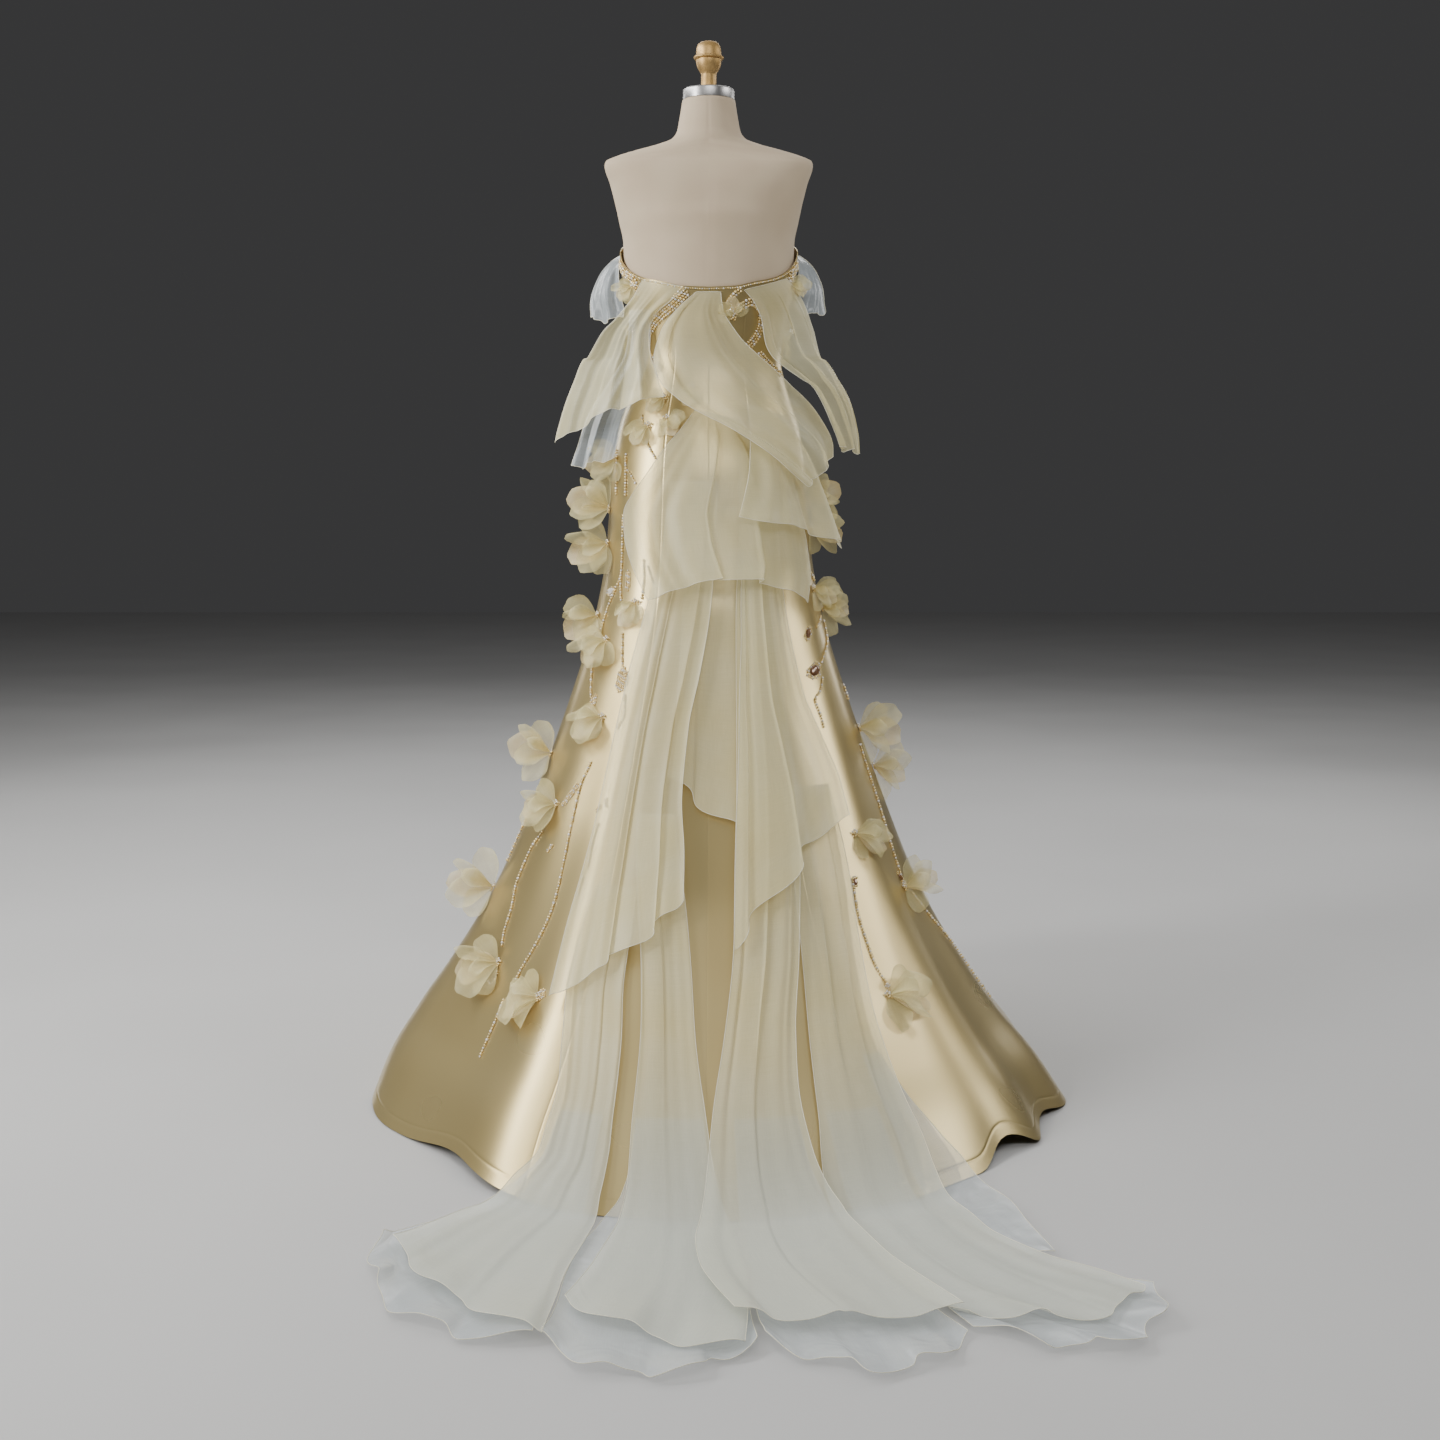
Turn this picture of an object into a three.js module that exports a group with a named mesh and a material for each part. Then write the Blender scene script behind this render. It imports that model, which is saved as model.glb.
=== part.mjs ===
// A mermaid gown on a limbless dress form. Millimetres, +Z up, origin at the centre of the stand base's underside.
// The gown's open back and train face -Y, and its front faces +Y.
//
// All cloth is drawn on one map of the gown: an angle round the body in degrees (0 at the centre back, positive
// towards +X, 180 at the centre front) and a height over the floor. A height below zero is a run out along the
// floor from the hem, so a train panel needs no other coordinates.
import * as THREE from "three";
import { mergeVertices } from "three/addons/utils/BufferGeometryUtils.js";

// ---------- driving sizes ----------
const SATIN = 1.6; // wall of the gown
const ORGANZA = 1.0; // wall of the draped pieces
const SEAM_GAP = 0.3; // between pieces that meet
const EASE = 0.9; // between the gown and the form
const HEM_CLEARANCE = 0.6; // under the satin hem
const FLOOR_FILLET = 60; // half the run over which a train panel turns from the skirt to the floor

const STAND = {
  baseRadius: 190,
  baseHeight: 22,
  baseEdge: 7,
  poleRadius: 16,
};
const NECK_RING = { radius: 43.5, bottom: 1587.3, top: 1605, bevel: 1.6 };
const FINIAL = { bottom: 1605.3 };

// ---------- colours ----------
const MATERIALS = {
  satin: new THREE.MeshStandardMaterial({
    color: 0xe3cf9f,
    roughness: 0.3,
    metalness: 0.05,
    side: THREE.DoubleSide,
  }),
  organza: new THREE.MeshStandardMaterial({
    color: 0xe9e4c8,
    roughness: 0.55,
    metalness: 0,
    side: THREE.DoubleSide,
  }),
  petal: new THREE.MeshStandardMaterial({
    color: 0xeee6c0,
    roughness: 0.6,
    metalness: 0,
  }),
  linen: new THREE.MeshStandardMaterial({
    color: 0xcdc0ab,
    roughness: 0.9,
    metalness: 0,
  }),
  steel: new THREE.MeshStandardMaterial({
    color: 0x9a9a98,
    roughness: 0.3,
    metalness: 1,
  }),
  brass: new THREE.MeshStandardMaterial({
    color: 0xa67c3e,
    roughness: 0.4,
    metalness: 1,
  }),
  iron: new THREE.MeshStandardMaterial({
    color: 0x2b2b2c,
    roughness: 0.6,
    metalness: 0.8,
  }),
};

// ---------- tables ----------

// Rows of numbers under named columns.
function table(columns, rows) {
  return rows.map((row) =>
    Object.fromEntries(columns.map((column, i) => [column, row[i]])),
  );
}

// The gown's outer face, ring by ring: each ring is an ellipse with its own depth to the back and the front.
const RINGS = table(
  ["height", "halfWidth", "back", "front", "centre"],
  [
    [0, 540, 572, 690, -360],
    [58, 505, 510, 629, -325],
    [115, 458, 452, 573, -293],
    [175, 416, 393, 523, -267],
    [266, 363, 322, 454, -228],
    [328, 334, 281, 411, -204],
    [391, 309, 251, 369, -179],
    [487, 273, 210, 306, -140],
    [584, 238, 174, 254, -106],
    [683, 206, 149, 204, -71],
    [750, 189, 135, 175, -50],
    [818, 178, 129, 149, -31],
    [886, 173, 124, 130, -18],
    [960, 168, 121, 121, -10],
    [1040, 156, 107, 107, -2],
    [1100, 137, 97, 97, 3],
    [1157, 124, 90, 90, 4],
    [1215, 132, 99, 99, 8],
    [1275, 146, 112, 112, 14],
    [1320, 152, 118, 118, 18],
    [1360, 153, 112, 112, 12],
  ],
);

// Soft flutes that stand out of the skirt towards its hem.
const FLUTES = table(
  ["angle", "spread", "depth", "reach"],
  [
    [-160, 15, 20, 520],
    [-128, 16, 18, 500],
    [-92, 26, -46, 140],
    [-86, 16, 26, 500],
    [-55, 24, -44, 430],
    [-32, 13, 6, 380],
    [2, 13, 5, 360],
    [30, 12, 6, 380],
    [59, 9, 14, 420],
    [81, 12, 26, 460],
    [106, 14, 18, 520],
    [136, 15, 20, 480],
    [170, 15, 18, 520],
  ],
);

// Places where the satin hem lifts off the floor between two flutes.
const HEM_LIFTS = table(
  ["angle", "spread", "lift"],
  [
    [-145, 11, 14],
    [-112, 10, 10],
    [-80, 9, 6],
    [-42, 22, 16],
    [54, 7, 24],
    [70, 8, 14],
    [92, 8, 12],
    [121, 10, 12],
    [153, 11, 14],
  ],
);

// The neckline: high at the sides, low across the open back, dipping at the centre front.
const NECKLINE = table(
  ["angle", "height"],
  [
    [0, 1288],
    [40, 1295],
    [65, 1312],
    [90, 1340],
    [115, 1358],
    [150, 1364],
    [180, 1344],
  ],
);

// Heights of the gown's rows below the bust, closest where other pieces are sewn on and where the skirt turns out.
const GORE_ROWS = [
  1215, 1157, 1100, 1060, 1000, 950, 908, 854, 760, 665, 570, 470, 435, 335,
  270, 200, 135, 85, 40,
];
const BODICE_ROWS = 3; // rows from the neckline down to the first of those

// The seven princess gores, from seam to seam.
const GORES = table(
  ["name", "from", "to", "columns"],
  [
    ["gore_back_centre_left", -27, 0, 4],
    ["gore_back_centre_right", 0, 27, 4],
    ["gore_back_side_right", 27, 90, 8],
    ["gore_front_side_right", 90, 152, 8],
    ["gore_front_centre", 152, 208, 7],
    ["gore_front_side_left", 208, 270, 8],
    ["gore_back_side_left", 270, 333, 8],
  ],
);

// Draped organza. Each piece is cut by its sections from the seam it is sewn on down to its hem: the angle and
// height of its two edges, how far its middle hangs below the line between them, how far each edge stands off
// the satin, and the depth of its folds. "waves" is the number of folds across and "phase" where they start.
const SECTION = [
  "left",
  "leftHeight",
  "right",
  "rightHeight",
  "drop",
  "leftOff",
  "rightOff",
  "fold",
];
const SEWN = 0.85; // stand-off of the middle of an organza wall where it is sewn to the satin
const SEWN_LOW = 1.35; // the same where the satin under it turns more: over the flutes and the small of the back
const DRAPES = [
  {
    name: "wing_left",
    waves: 2.6,
    phase: 0.1,
    columns: 9,
    sections: [
      [-48, 1286, -14, 1269, 0, SEWN, SEWN, 0],
      [-54, 1263, -26, 1249, 0, 10, 4, 1],
      [-65, 1232, -40, 1226, 2, 34, 9, 3],
      [-74, 1205, -47, 1196, 4, 58, 14, 5],
      [-81, 1168, -45, 1162, 6, 76, 20, 7],
      [-86, 1116, -37, 1130, 8, 86, 26, 8],
      [-88, 1062, -31, 1104, 4, 88, 30, 9],
      [-89, 1002, -26, 1082, -4, 88, 34, 10],
    ],
  },
  {
    name: "wing_left_under",
    waves: 1.8,
    phase: 0.35,
    columns: 6,
    sections: [
      [-78, 1240, -46, 1236, 0, SEWN, SEWN, 0],
      [-81, 1200, -47, 1196, 0, 10, 6, 1.5],
      [-84, 1150, -49, 1150, 0, 26, 12, 3],
      [-87, 1090, -52, 1095, 0, 44, 18, 4],
      [-88, 1034, -56, 1042, 0, 58, 22, 5],
      [-87, 970, -59, 985, 6, 64, 28, 6],
    ],
  },
  {
    name: "wing_right",
    waves: 2.4,
    phase: 0.3,
    columns: 9,
    sections: [
      [24, 1266, 62, 1290, 0, SEWN, SEWN, 0],
      [32, 1246, 71, 1272, 0, 6, 14, 1],
      [38, 1216, 81, 1246, 0, 14, 34, 3],
      [39, 1184, 86, 1208, 0, 26, 56, 5],
      [43, 1152, 88, 1166, -2, 38, 74, 7],
      [49, 1126, 89, 1122, -5, 48, 86, 8],
      [55, 1108, 90, 1078, -8, 56, 94, 9],
      [61, 1094, 90, 1036, -10, 62, 96, 9],
    ],
  },
  {
    name: "swirl",
    waves: 2.2,
    phase: 0,
    columns: 10,
    sections: [
      [-8, 1262, 8, 1262, 0, SEWN, SEWN, 0],
      [-22, 1234, 10, 1232, -2, 9, 7, 1.5],
      [-33, 1200, 20, 1196, -4, 20, 15, 3],
      [-38, 1160, 34, 1161, 0, 28, 23, 4],
      [-31, 1116, 48, 1124, 4, 37, 29, 5],
      [-16, 1072, 61, 1088, 10, 44, 34, 5],
      [8, 1026, 73, 1053, 12, 50, 40, 5],
      [30, 978, 80, 1018, 8, 56, 48, 5],
      [47, 933, 72, 984, 0, 60, 54, 4],
    ],
  },
  {
    name: "tier_left",
    waves: 3.2,
    phase: 0.2,
    columns: 11,
    sections: [
      [-9, 1068, 20, 1052, 0, SEWN_LOW, SEWN_LOW, 0],
      [-16, 1035, 30, 1015, 0, 10, 9, 1.5],
      [-24, 1000, 38, 985, 0, 19, 17, 3],
      [-32, 960, 44, 955, 0, 27, 25, 4],
      [-39, 925, 48, 920, 0, 33, 31, 5],
      [-43, 895, 51, 885, 2, 37, 35, 5],
      [-41, 850, 53, 845, 0, 40, 39, 6],
      [-36, 802, 53, 800, -10, 43, 42, 6],
      [-26, 738, 47, 736, -40, 45, 44, 7],
    ],
  },
  {
    name: "tier_right",
    waves: 2.3,
    phase: 0.6,
    columns: 8,
    sections: [
      [26, 1078, 56, 1060, 0, SEWN_LOW, SEWN_LOW, 0],
      [24, 1040, 60, 1020, 0, 21, 18, 1.5],
      [22, 1000, 65, 985, 0, 33, 28, 3],
      [20, 960, 70, 945, 0, 42, 36, 4],
      [17, 922, 76, 896, 0, 49, 44, 5],
      [14, 884, 81, 832, 0, 55, 54, 6],
    ],
  },
  {
    name: "panel_centre",
    waves: 1.5,
    phase: 0.1,
    columns: 6,
    sections: [
      [-12, 908, 21, 908, 0, SEWN, SEWN, 0],
      [-12, 850, 21, 850, 0, 5, 5, 1],
      [-12, 760, 20, 760, 0, 7, 7, 1.5],
      [-12, 660, 18, 660, 0, 8, 8, 2],
      [-12, 570, 17, 550, 0, 8, 8, 2],
      [-13, 482, 15, 396, 0, 8, 8, 2],
    ],
  },
  {
    name: "panel_left",
    waves: 2.4,
    phase: 0.7,
    columns: 8,
    sections: [
      [-22, 950, 5, 950, 0, SEWN, SEWN, 0],
      [-23, 890, 4, 890, 0, 9, 9, 1],
      [-25, 820, 3, 820, 0, 14, 15, 2],
      [-31, 725, 1, 735, 0, 18, 18, 3],
      [-34, 620, -3, 640, 0, 20, 20, 4],
      [-34.5, 520, -7, 550, 0, 20, 20, 4],
      [-34.5, 420, -8, 455, 0, 20, 20, 5],
      [-35, 300, -6.5, 375, 4, 21, 21, 5],
      [-33, 188, -6, 310, 5, 21, 21, 5],
    ],
  },
  {
    name: "panel_right",
    waves: 2.2,
    phase: 0.4,
    columns: 8,
    sections: [
      [17, 1000, 38, 1000, 0, SEWN, SEWN, 0],
      [17.5, 955, 38, 955, 0, 8, 8, 0.5],
      [17.5, 910, 38, 910, 0, 16, 16, 1.5],
      [17, 850, 37.5, 850, 0, 23, 23, 2.5],
      [15, 760, 37, 760, 0, 26, 26, 3],
      [13.5, 680, 37, 685, 0, 28, 28, 4],
      [11.5, 600, 37.5, 605, 0, 29, 29, 4],
      [10, 510, 42, 525, 0, 29, 29, 4],
      [8, 400, 45, 465, -10, 29, 28, 5],
      [6, 245, 44.5, 412, -35, 29, 28, 5],
    ],
  },
  {
    name: "train_left",
    waves: 2.2,
    phase: 0.15,
    columns: 7,
    sections: [
      [-31, 335, -19, 335, 0, SEWN, SEWN, 0],
      [-31.5, 285, -18.5, 285, 0, 6, 6, 1],
      [-31, 225, -18, 225, 0, 10, 9, 2],
      [-28, 150, -16, 150, 0, 11, 10, 2.5],
      [-25.5, 85, -15, 85, 0, 11, 10, 2.5],
      [-25.5, 45, -14.5, 45, 0, 11, 10, 2.5],
      [-28, 8, -14.5, 8, 0, 11, 10, 2.5],
      [-29, -32, -14, -32, 0, 11, 10, 2.5],
      [-30.5, -80, -13.5, -95, 0, 11, 10, 3],
      [-30.8, -125, -13, -185, 4, 12, 11, 4],
      [-31, -168, -12, -280, 8, 13, 12, 5],
      [-31, -203, -11.2, -370, 12, 16, 13, 6],
    ],
  },
  {
    name: "train_middle",
    waves: 2,
    phase: 0.5,
    columns: 7,
    sections: [
      [-22, 435, -10, 435, 0, SEWN, SEWN, 0],
      [-20.5, 385, -8.5, 385, 0, 6, 5, 1],
      [-17.5, 310, -5.5, 310, 0, 9, 7, 2],
      [-14.5, 235, -3.5, 235, 0, 10, 7, 2],
      [-12.5, 155, -2, 155, 0, 10, 7, 2],
      [-11.8, 85, 0, 85, 0, 10, 7, 2],
      [-11.3, 45, 1, 45, 0, 10, 7, 2],
      [-11, 8, 2, 8, 0, 10, 7, 2],
      [-11, -32, 3, -32, 0, 10, 7, 2],
      [-11, -90, 3.5, -90, 0, 10, 7, 2],
      [-11, -155, 4, -165, 4, 10, 7, 2],
      [-11.2, -220, 3.6, -270, 16, 11, 8, 3],
      [-11.4, -268, 2.9, -372, 33, 13, 9, 4],
    ],
  },
  {
    name: "train_centre",
    waves: 2.3,
    phase: 0.35,
    columns: 8,
    sections: [
      [17, 950, 33, 950, 0, SEWN, SEWN, 0],
      [17, 915, 33, 915, 0, 7, 7, 1],
      [16, 850, 32, 850, 0, 12, 12, 1.5],
      [13, 740, 31, 740, 0, 16, 16, 2],
      [11, 620, 30, 620, 0, 17, 17, 2.5],
      [9.5, 500, 29, 500, 0, 18, 18, 3],
      [8, 380, 26, 380, 0, 18, 18, 3],
      [6, 250, 21, 250, 0, 18, 18, 3],
      [3.5, 160, 17, 160, 0, 18, 18, 3],
      [1.2, 85, 15.5, 85, 0, 18, 18, 3],
      [0.5, 45, 16, 45, 0, 18, 18, 3],
      [0, 8, 17, 8, 0, 18, 18, 3],
      [-0.5, -32, 18, -32, 0, 18, 18, 3],
      [-1, -90, 18, -90, 0, 18, 18, 3],
      [-0.5, -165, 18, -170, 0, 18, 18, 4],
      [1, -245, 18.5, -262, 4, 18, 18, 4],
      [2.4, -312, 19.2, -352, 8, 20, 18, 5],
    ],
  },
  {
    name: "train_right",
    waves: 2.4,
    phase: 0.8,
    columns: 8,
    sections: [
      [25, 470, 44, 470, 0, SEWN, SEWN, 0],
      [24.5, 420, 43.5, 420, 0, 5, 5, 1],
      [23.5, 340, 42, 340, 0, 7, 8, 1.5],
      [22, 250, 38, 250, 0, 8, 9, 2],
      [20, 160, 35, 160, 0, 8, 10, 2],
      [18.5, 85, 34.5, 85, 0, 8, 10, 2],
      [17.5, 45, 35, 45, 0, 8, 10, 2],
      [17, 8, 34.5, 8, 0, 8, 10, 2],
      [17, -32, 33.5, -32, 0, 8, 10, 2],
      [17, -90, 32.5, -90, 0, 8, 10, 2],
      [17, -165, 31, -165, 0, 8, 11, 2],
      [17.5, -245, 31.5, -250, 12, 8, 12, 3],
      [18.5, -310, 33, -325, 32, 9, 13, 4],
      [20, -342, 33.6, -385, 48, 11, 14, 5],
    ],
  },
  {
    name: "train_right_under",
    waves: 1,
    phase: 0.2,
    columns: 4,
    sections: [
      [30, 135, 34, 135, 0, SEWN_LOW, SEWN_LOW, 0],
      [30.5, 85, 36.5, 85, 0, 1.6, 1.8, 0.2],
      [31, 45, 39.5, 45, 0, 2.2, 2.8, 0.4],
      [31, 8, 41.4, 8, 0, 2.6, 3.4, 0.5],
      [31, -32, 41, -32, 0, 3, 5, 0.8],
      [31, -90, 39.4, -90, 0, 3, 8, 1],
      [31, -165, 35.6, -168, 0, 3, 10, 1],
      [31.2, -228, 33, -246, 0, 3.5, 8, 1],
    ],
  },
  {
    name: "flounce_left",
    waves: 3.2,
    phase: 0.45,
    columns: 8,
    sections: [
      [-24.5, 85, -17, 85, 0, SEWN_LOW, SEWN_LOW, 0],
      [-25, 45, -17, 45, 0, 1.8, 1.8, 0.2],
      [-28, 8, -16.5, 8, 0, 2.4, 2.4, 0.4],
      [-30.4, -32, -16, -32, 0, 3, 3, 0.6],
      [-31.5, -85, -15.8, -95, 8, 3, 3, 0.8],
      [-33, -135, -14.4, -190, 26, 4, 3, 1],
      [-33.4, -168, -12.9, -290, 54, 6, 4, 1.5],
      [-33.5, -188, -11.9, -368, 76, 9, 6, 3],
    ],
  },
  {
    name: "flounce_middle",
    waves: 3,
    phase: 0.1,
    columns: 8,
    sections: [
      [-11.4, 85, -0.5, 85, 0, SEWN_LOW, SEWN_LOW, 0],
      [-11.2, 45, 0.5, 45, 0, 1.8, 1.6, 0.2],
      [-11.8, 8, 1.7, 8, 0, 2.4, 2, 0.4],
      [-13.4, -32, 3, -32, 0, 3, 2, 0.4],
      [-14, -90, 3.5, -90, 0, 3, 2, 0.5],
      [-13.3, -175, 3.8, -175, 8, 3, 2, 0.5],
      [-12, -275, 3.8, -265, 40, 4, 2.2, 0.8],
      [-11.3, -366, 3.8, -358, 74, 7, 5, 3],
    ],
  },
  {
    name: "flounce_centre",
    waves: 3,
    phase: 0.7,
    columns: 8,
    sections: [
      [4.6, 85, 15, 85, 0, SEWN_LOW, SEWN_LOW, 0],
      [4.6, 45, 15.5, 45, 0, 1.8, 1.6, 0.2],
      [4.6, 8, 16.5, 8, 0, 2.4, 2, 0.4],
      [4.6, -32, 17, -32, 0, 3, 2, 0.4],
      [4.6, -90, 17, -90, 0, 3, 2, 0.5],
      [4.5, -175, 18, -180, 8, 3, 2, 0.5],
      [4.3, -270, 18.4, -285, 40, 5, 2.2, 1],
      [4.4, -352, 18.7, -380, 78, 8, 4, 3],
    ],
  },
  {
    name: "flounce_right",
    waves: 3.4,
    phase: 0.25,
    columns: 9,
    sections: [
      [20, 85, 29, 85, 0, SEWN_LOW, SEWN_LOW, 0],
      [20, 45, 29.2, 45, 0, 1.6, 1.8, 0.2],
      [20, 8, 29.4, 8, 0, 2, 2.4, 0.4],
      [20, -32, 29.4, -32, 0, 2, 3, 0.4],
      [19.7, -90, 29.4, -90, 0, 2, 3, 0.5],
      [19.5, -175, 29.2, -175, 10, 2, 3, 0.5],
      [19.3, -260, 30.2, -262, 36, 2.5, 4, 0.8],
      [19.3, -325, 33.4, -330, 66, 4, 6, 1.5],
      [19.3, -374, 34.8, -384, 94, 6, 9, 3],
    ],
  },
  {
    name: "bust_ruffle_left",
    waves: 1.6,
    phase: 0.2,
    columns: 6,
    sections: [
      [-114, 1346, -84, 1322, 0, SEWN, SEWN, 0],
      [-112, 1334, -81, 1306, 0, 26, 5, 1],
      [-108, 1312, -77, 1284, 0, 50, 8, 3],
      [-104, 1284, -74, 1258, 0, 63, 11, 4],
      [-100, 1252, -72, 1232, 8, 66, 14, 5],
    ],
  },
  {
    name: "bust_ruffle_right",
    waves: 1.6,
    phase: 0.6,
    columns: 6,
    sections: [
      [84, 1322, 114, 1346, 0, SEWN - 0.2, SEWN - 0.2, 0],
      [81, 1308, 112, 1336, 0, 5, 24, 1],
      [78, 1290, 108, 1316, 0, 8, 46, 3],
      [75, 1268, 104, 1290, 0, 11, 58, 4],
      [73, 1244, 100, 1260, 8, 14, 60, 5],
    ],
  },
];

// Organza flowers sewn to the satin: where each sits, the radius of its petals and how far they stand up.
const FLOWERS = table(
  ["angle", "height", "radius", "rise"],
  [
    [-75, 985, 26, 22],
    [-43, 1034, 22, 16],
    [-25, 1046, 18, 14],
    [-82, 911, 36, 30],
    [-79, 838, 34, 28],
    [-76, 716, 32, 26],
    [-41, 740, 22, 16],
    [-58, 676, 30, 24],
    [-48, 559, 30, 24],
    [-80, 505, 32, 30],
    [-59, 430, 32, 24],
    [-86, 292, 34, 32],
    [-60, 206, 34, 24],
    [-40.5, 182, 34, 22],
    [82, 925, 28, 24],
    [83, 866, 28, 24],
    [74, 764, 24, 20],
    [88, 735, 26, 22],
    [87, 535, 34, 32],
    [91, 470, 30, 28],
    [51.5, 388, 28, 20],
    [68, 312, 28, 24],
    [44, 182, 36, 22],
    [17, 1233, 15, 10],
    [-103, 1205, 26, 20],
    [104, 1195, 26, 20],
    [140, 840, 32, 24],
    [-146, 640, 32, 24],
  ],
);
const FLOWER_PETALS = 5;
const FLOWER_FOOT = 0.22; // share of the radius that is sewn down
const FLOWER_NOTCH = 0.68; // share of the radius between two petals
const FLOWER_WALL = 1.6;

// The dress form above and below the gown, section by section. "square" 2 is an ellipse, and more is boxier.
const FORM_SHOULDERS = table(
  ["height", "halfWidth", "depthBack", "depthFront", "centre", "square"],
  [
    [1386, 152, 104, 104, 8, 2],
    [1410, 157, 94, 94, 3, 2.1],
    [1450, 167, 80, 80, -5, 2.3],
    [1478, 175.5, 64, 64, -8, 2.5],
    [1485, 174, 58, 58, -8, 2.4],
    [1493, 158, 54, 54, -7, 2.3],
    [1503, 126, 52, 52, -5, 2.2],
    [1513, 90, 53, 53, -2, 2],
    [1523, 64, 55, 55, 1, 2],
    [1536, 54, 53, 53, 2, 2],
    [1560, 49, 50, 50, 2, 2],
    [1587, 44.5, 46, 46, 2, 2],
  ],
);
const FORM_WORN = table(
  ["height", "ease"],
  [
    [836, 12],
    [850, EASE],
    [908, EASE],
    [950, EASE],
    [1000, EASE],
    [1060, EASE],
    [1100, EASE],
    [1157, EASE],
    [1215, EASE],
    [1275, EASE + 0.6],
    [1318, EASE + 4],
    [1355, EASE + 4],
  ],
);
const FORM_BOTTOM = FORM_WORN[0].height;
const FORM_COLUMNS = 30;

// ---------- curves through a table ----------

// A monotone cubic through one column of a table against another, flat where the column turns back.
function curveOf(rows, key, column) {
  const x = rows.map((row) => row[key]);
  const y = rows.map((row) => row[column]);
  const slopes = x.slice(1).map((_, i) => (y[i + 1] - y[i]) / (x[i + 1] - x[i]));
  const tangents = x.map((_, i) => {
    if (i === 0) return slopes[0];
    if (i === x.length - 1) return slopes[i - 1];
    const [before, after] = [slopes[i - 1], slopes[i]];
    return before * after <= 0 ? 0 : (2 * before * after) / (before + after);
  });
  return (value) => {
    const at = THREE.MathUtils.clamp(value, x[0], x.at(-1));
    let i = 0;
    while (i < x.length - 2 && at > x[i + 1]) i++;
    const span = x[i + 1] - x[i];
    const t = (at - x[i]) / span;
    const u = 1 - t;
    return (
      (1 + 2 * t) * u * u * y[i] +
      t * u * u * span * tangents[i] +
      t * t * (3 - 2 * t) * y[i + 1] -
      t * t * u * span * tangents[i + 1]
    );
  };
}

const ring = Object.fromEntries(
  ["halfWidth", "back", "front", "centre"].map((column) => [
    column,
    curveOf(RINGS, "height", column),
  ]),
);
const neckline = curveOf(NECKLINE, "angle", "height");

// ---------- the map of the gown ----------

// The signed turn from one angle to another, in -180..180.
function turn(from, to) {
  return ((((to - from + 180) % 360) + 360) % 360) - 180;
}

// A bump of height 1 at its angle that falls smoothly to 0 at its spread.
function bump(row, angle) {
  const t = Math.abs(turn(row.angle, angle)) / row.spread;
  return t < 1 ? Math.cos((t * Math.PI) / 2) ** 2 : 0;
}

function fluteDepth(angle, height) {
  return FLUTES.reduce((sum, flute) => {
    const share = THREE.MathUtils.clamp(1 - height / flute.reach, 0, 1);
    return sum + flute.depth * bump(flute, angle) * share ** 1.5;
  }, 0);
}

function hemHeight(angle) {
  return HEM_LIFTS.reduce(
    (height, row) => height + row.lift * bump(row, angle),
    HEM_CLEARANCE,
  );
}

function topHeight(angle) {
  return neckline(Math.abs(turn(0, angle)));
}

// A height on the map as a height over the floor and a run along it, with a round turn between them.
function turnToFloor(height) {
  if (height >= FLOOR_FILLET) return { rise: height, run: 0 };
  if (height <= -FLOOR_FILLET) return { rise: 0, run: -height };
  return {
    rise: (height + FLOOR_FILLET) ** 2 / (4 * FLOOR_FILLET),
    run: (FLOOR_FILLET - height) ** 2 / (4 * FLOOR_FILLET),
  };
}

// A point of the gown's outer face. The skirt's own cloth goes straight down, and a train turns out to the floor.
function gownPoint(angle, height, onFloor = true) {
  const { rise, run } = onFloor ? turnToFloor(height) : { rise: height, run: 0 };
  const out = run + fluteDepth(angle, rise);
  const a = THREE.MathUtils.degToRad(angle);
  const depth = Math.cos(a) > 0 ? ring.back(rise) : ring.front(rise);
  return new THREE.Vector3(
    (ring.halfWidth(rise) + out) * Math.sin(a),
    ring.centre(rise) - (depth + out) * Math.cos(a),
    rise,
  );
}

function gownNormal(angle, height, onFloor = true) {
  const across = gownPoint(angle + 0.5, height, onFloor).sub(
    gownPoint(angle - 0.5, height, onFloor),
  );
  const down = gownPoint(angle, height - 5, onFloor).sub(
    gownPoint(angle, height + 5, onFloor),
  );
  return down.cross(across).normalize();
}

// ---------- walls ----------

// One face of the wall: the grid's rows run down and its columns run to the right, seen from outside.
function sheetFaces(rows, columns, first, flipped) {
  const faces = [];
  for (let i = 0; i < rows - 1; i++)
    for (let j = 0; j < columns - 1; j++) {
      const a = first + i * columns + j;
      const c = a + columns;
      for (const [p, q, r] of [
        [a, c, a + 1],
        [a + 1, c, c + 1],
      ])
        faces.push(...(flipped ? [p, r, q] : [p, q, r]));
    }
  return faces;
}

// The border of a grid, once round, in the turn that faces outwards for the rim of a wall.
function border(rows, columns) {
  const loop = [];
  for (let j = 0; j < columns - 1; j++) loop.push(j);
  for (let i = 0; i < rows - 1; i++) loop.push(i * columns + columns - 1);
  for (let j = columns - 1; j > 0; j--) loop.push((rows - 1) * columns + j);
  for (let i = rows - 1; i > 0; i--) loop.push(i * columns);
  return loop;
}

// A closed wall from two grids of points: its outer face, its inner face and the rim between them.
function wallGeometry(outer, inner) {
  const rows = outer.length;
  const columns = outer[0].length;
  const count = rows * columns;
  const positions = [...outer.flat(), ...inner.flat()].flatMap((p) => p.toArray());
  const faces = [
    ...sheetFaces(rows, columns, 0, false),
    ...sheetFaces(rows, columns, count, true),
  ];
  const loop = border(rows, columns);
  loop.forEach((a, i) => {
    const b = loop[(i + 1) % loop.length];
    faces.push(a, b, b + count, a, b + count, a + count);
  });
  return new THREE.BufferGeometry()
    .setAttribute("position", new THREE.Float32BufferAttribute(positions, 3))
    .setIndex(faces);
}

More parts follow.
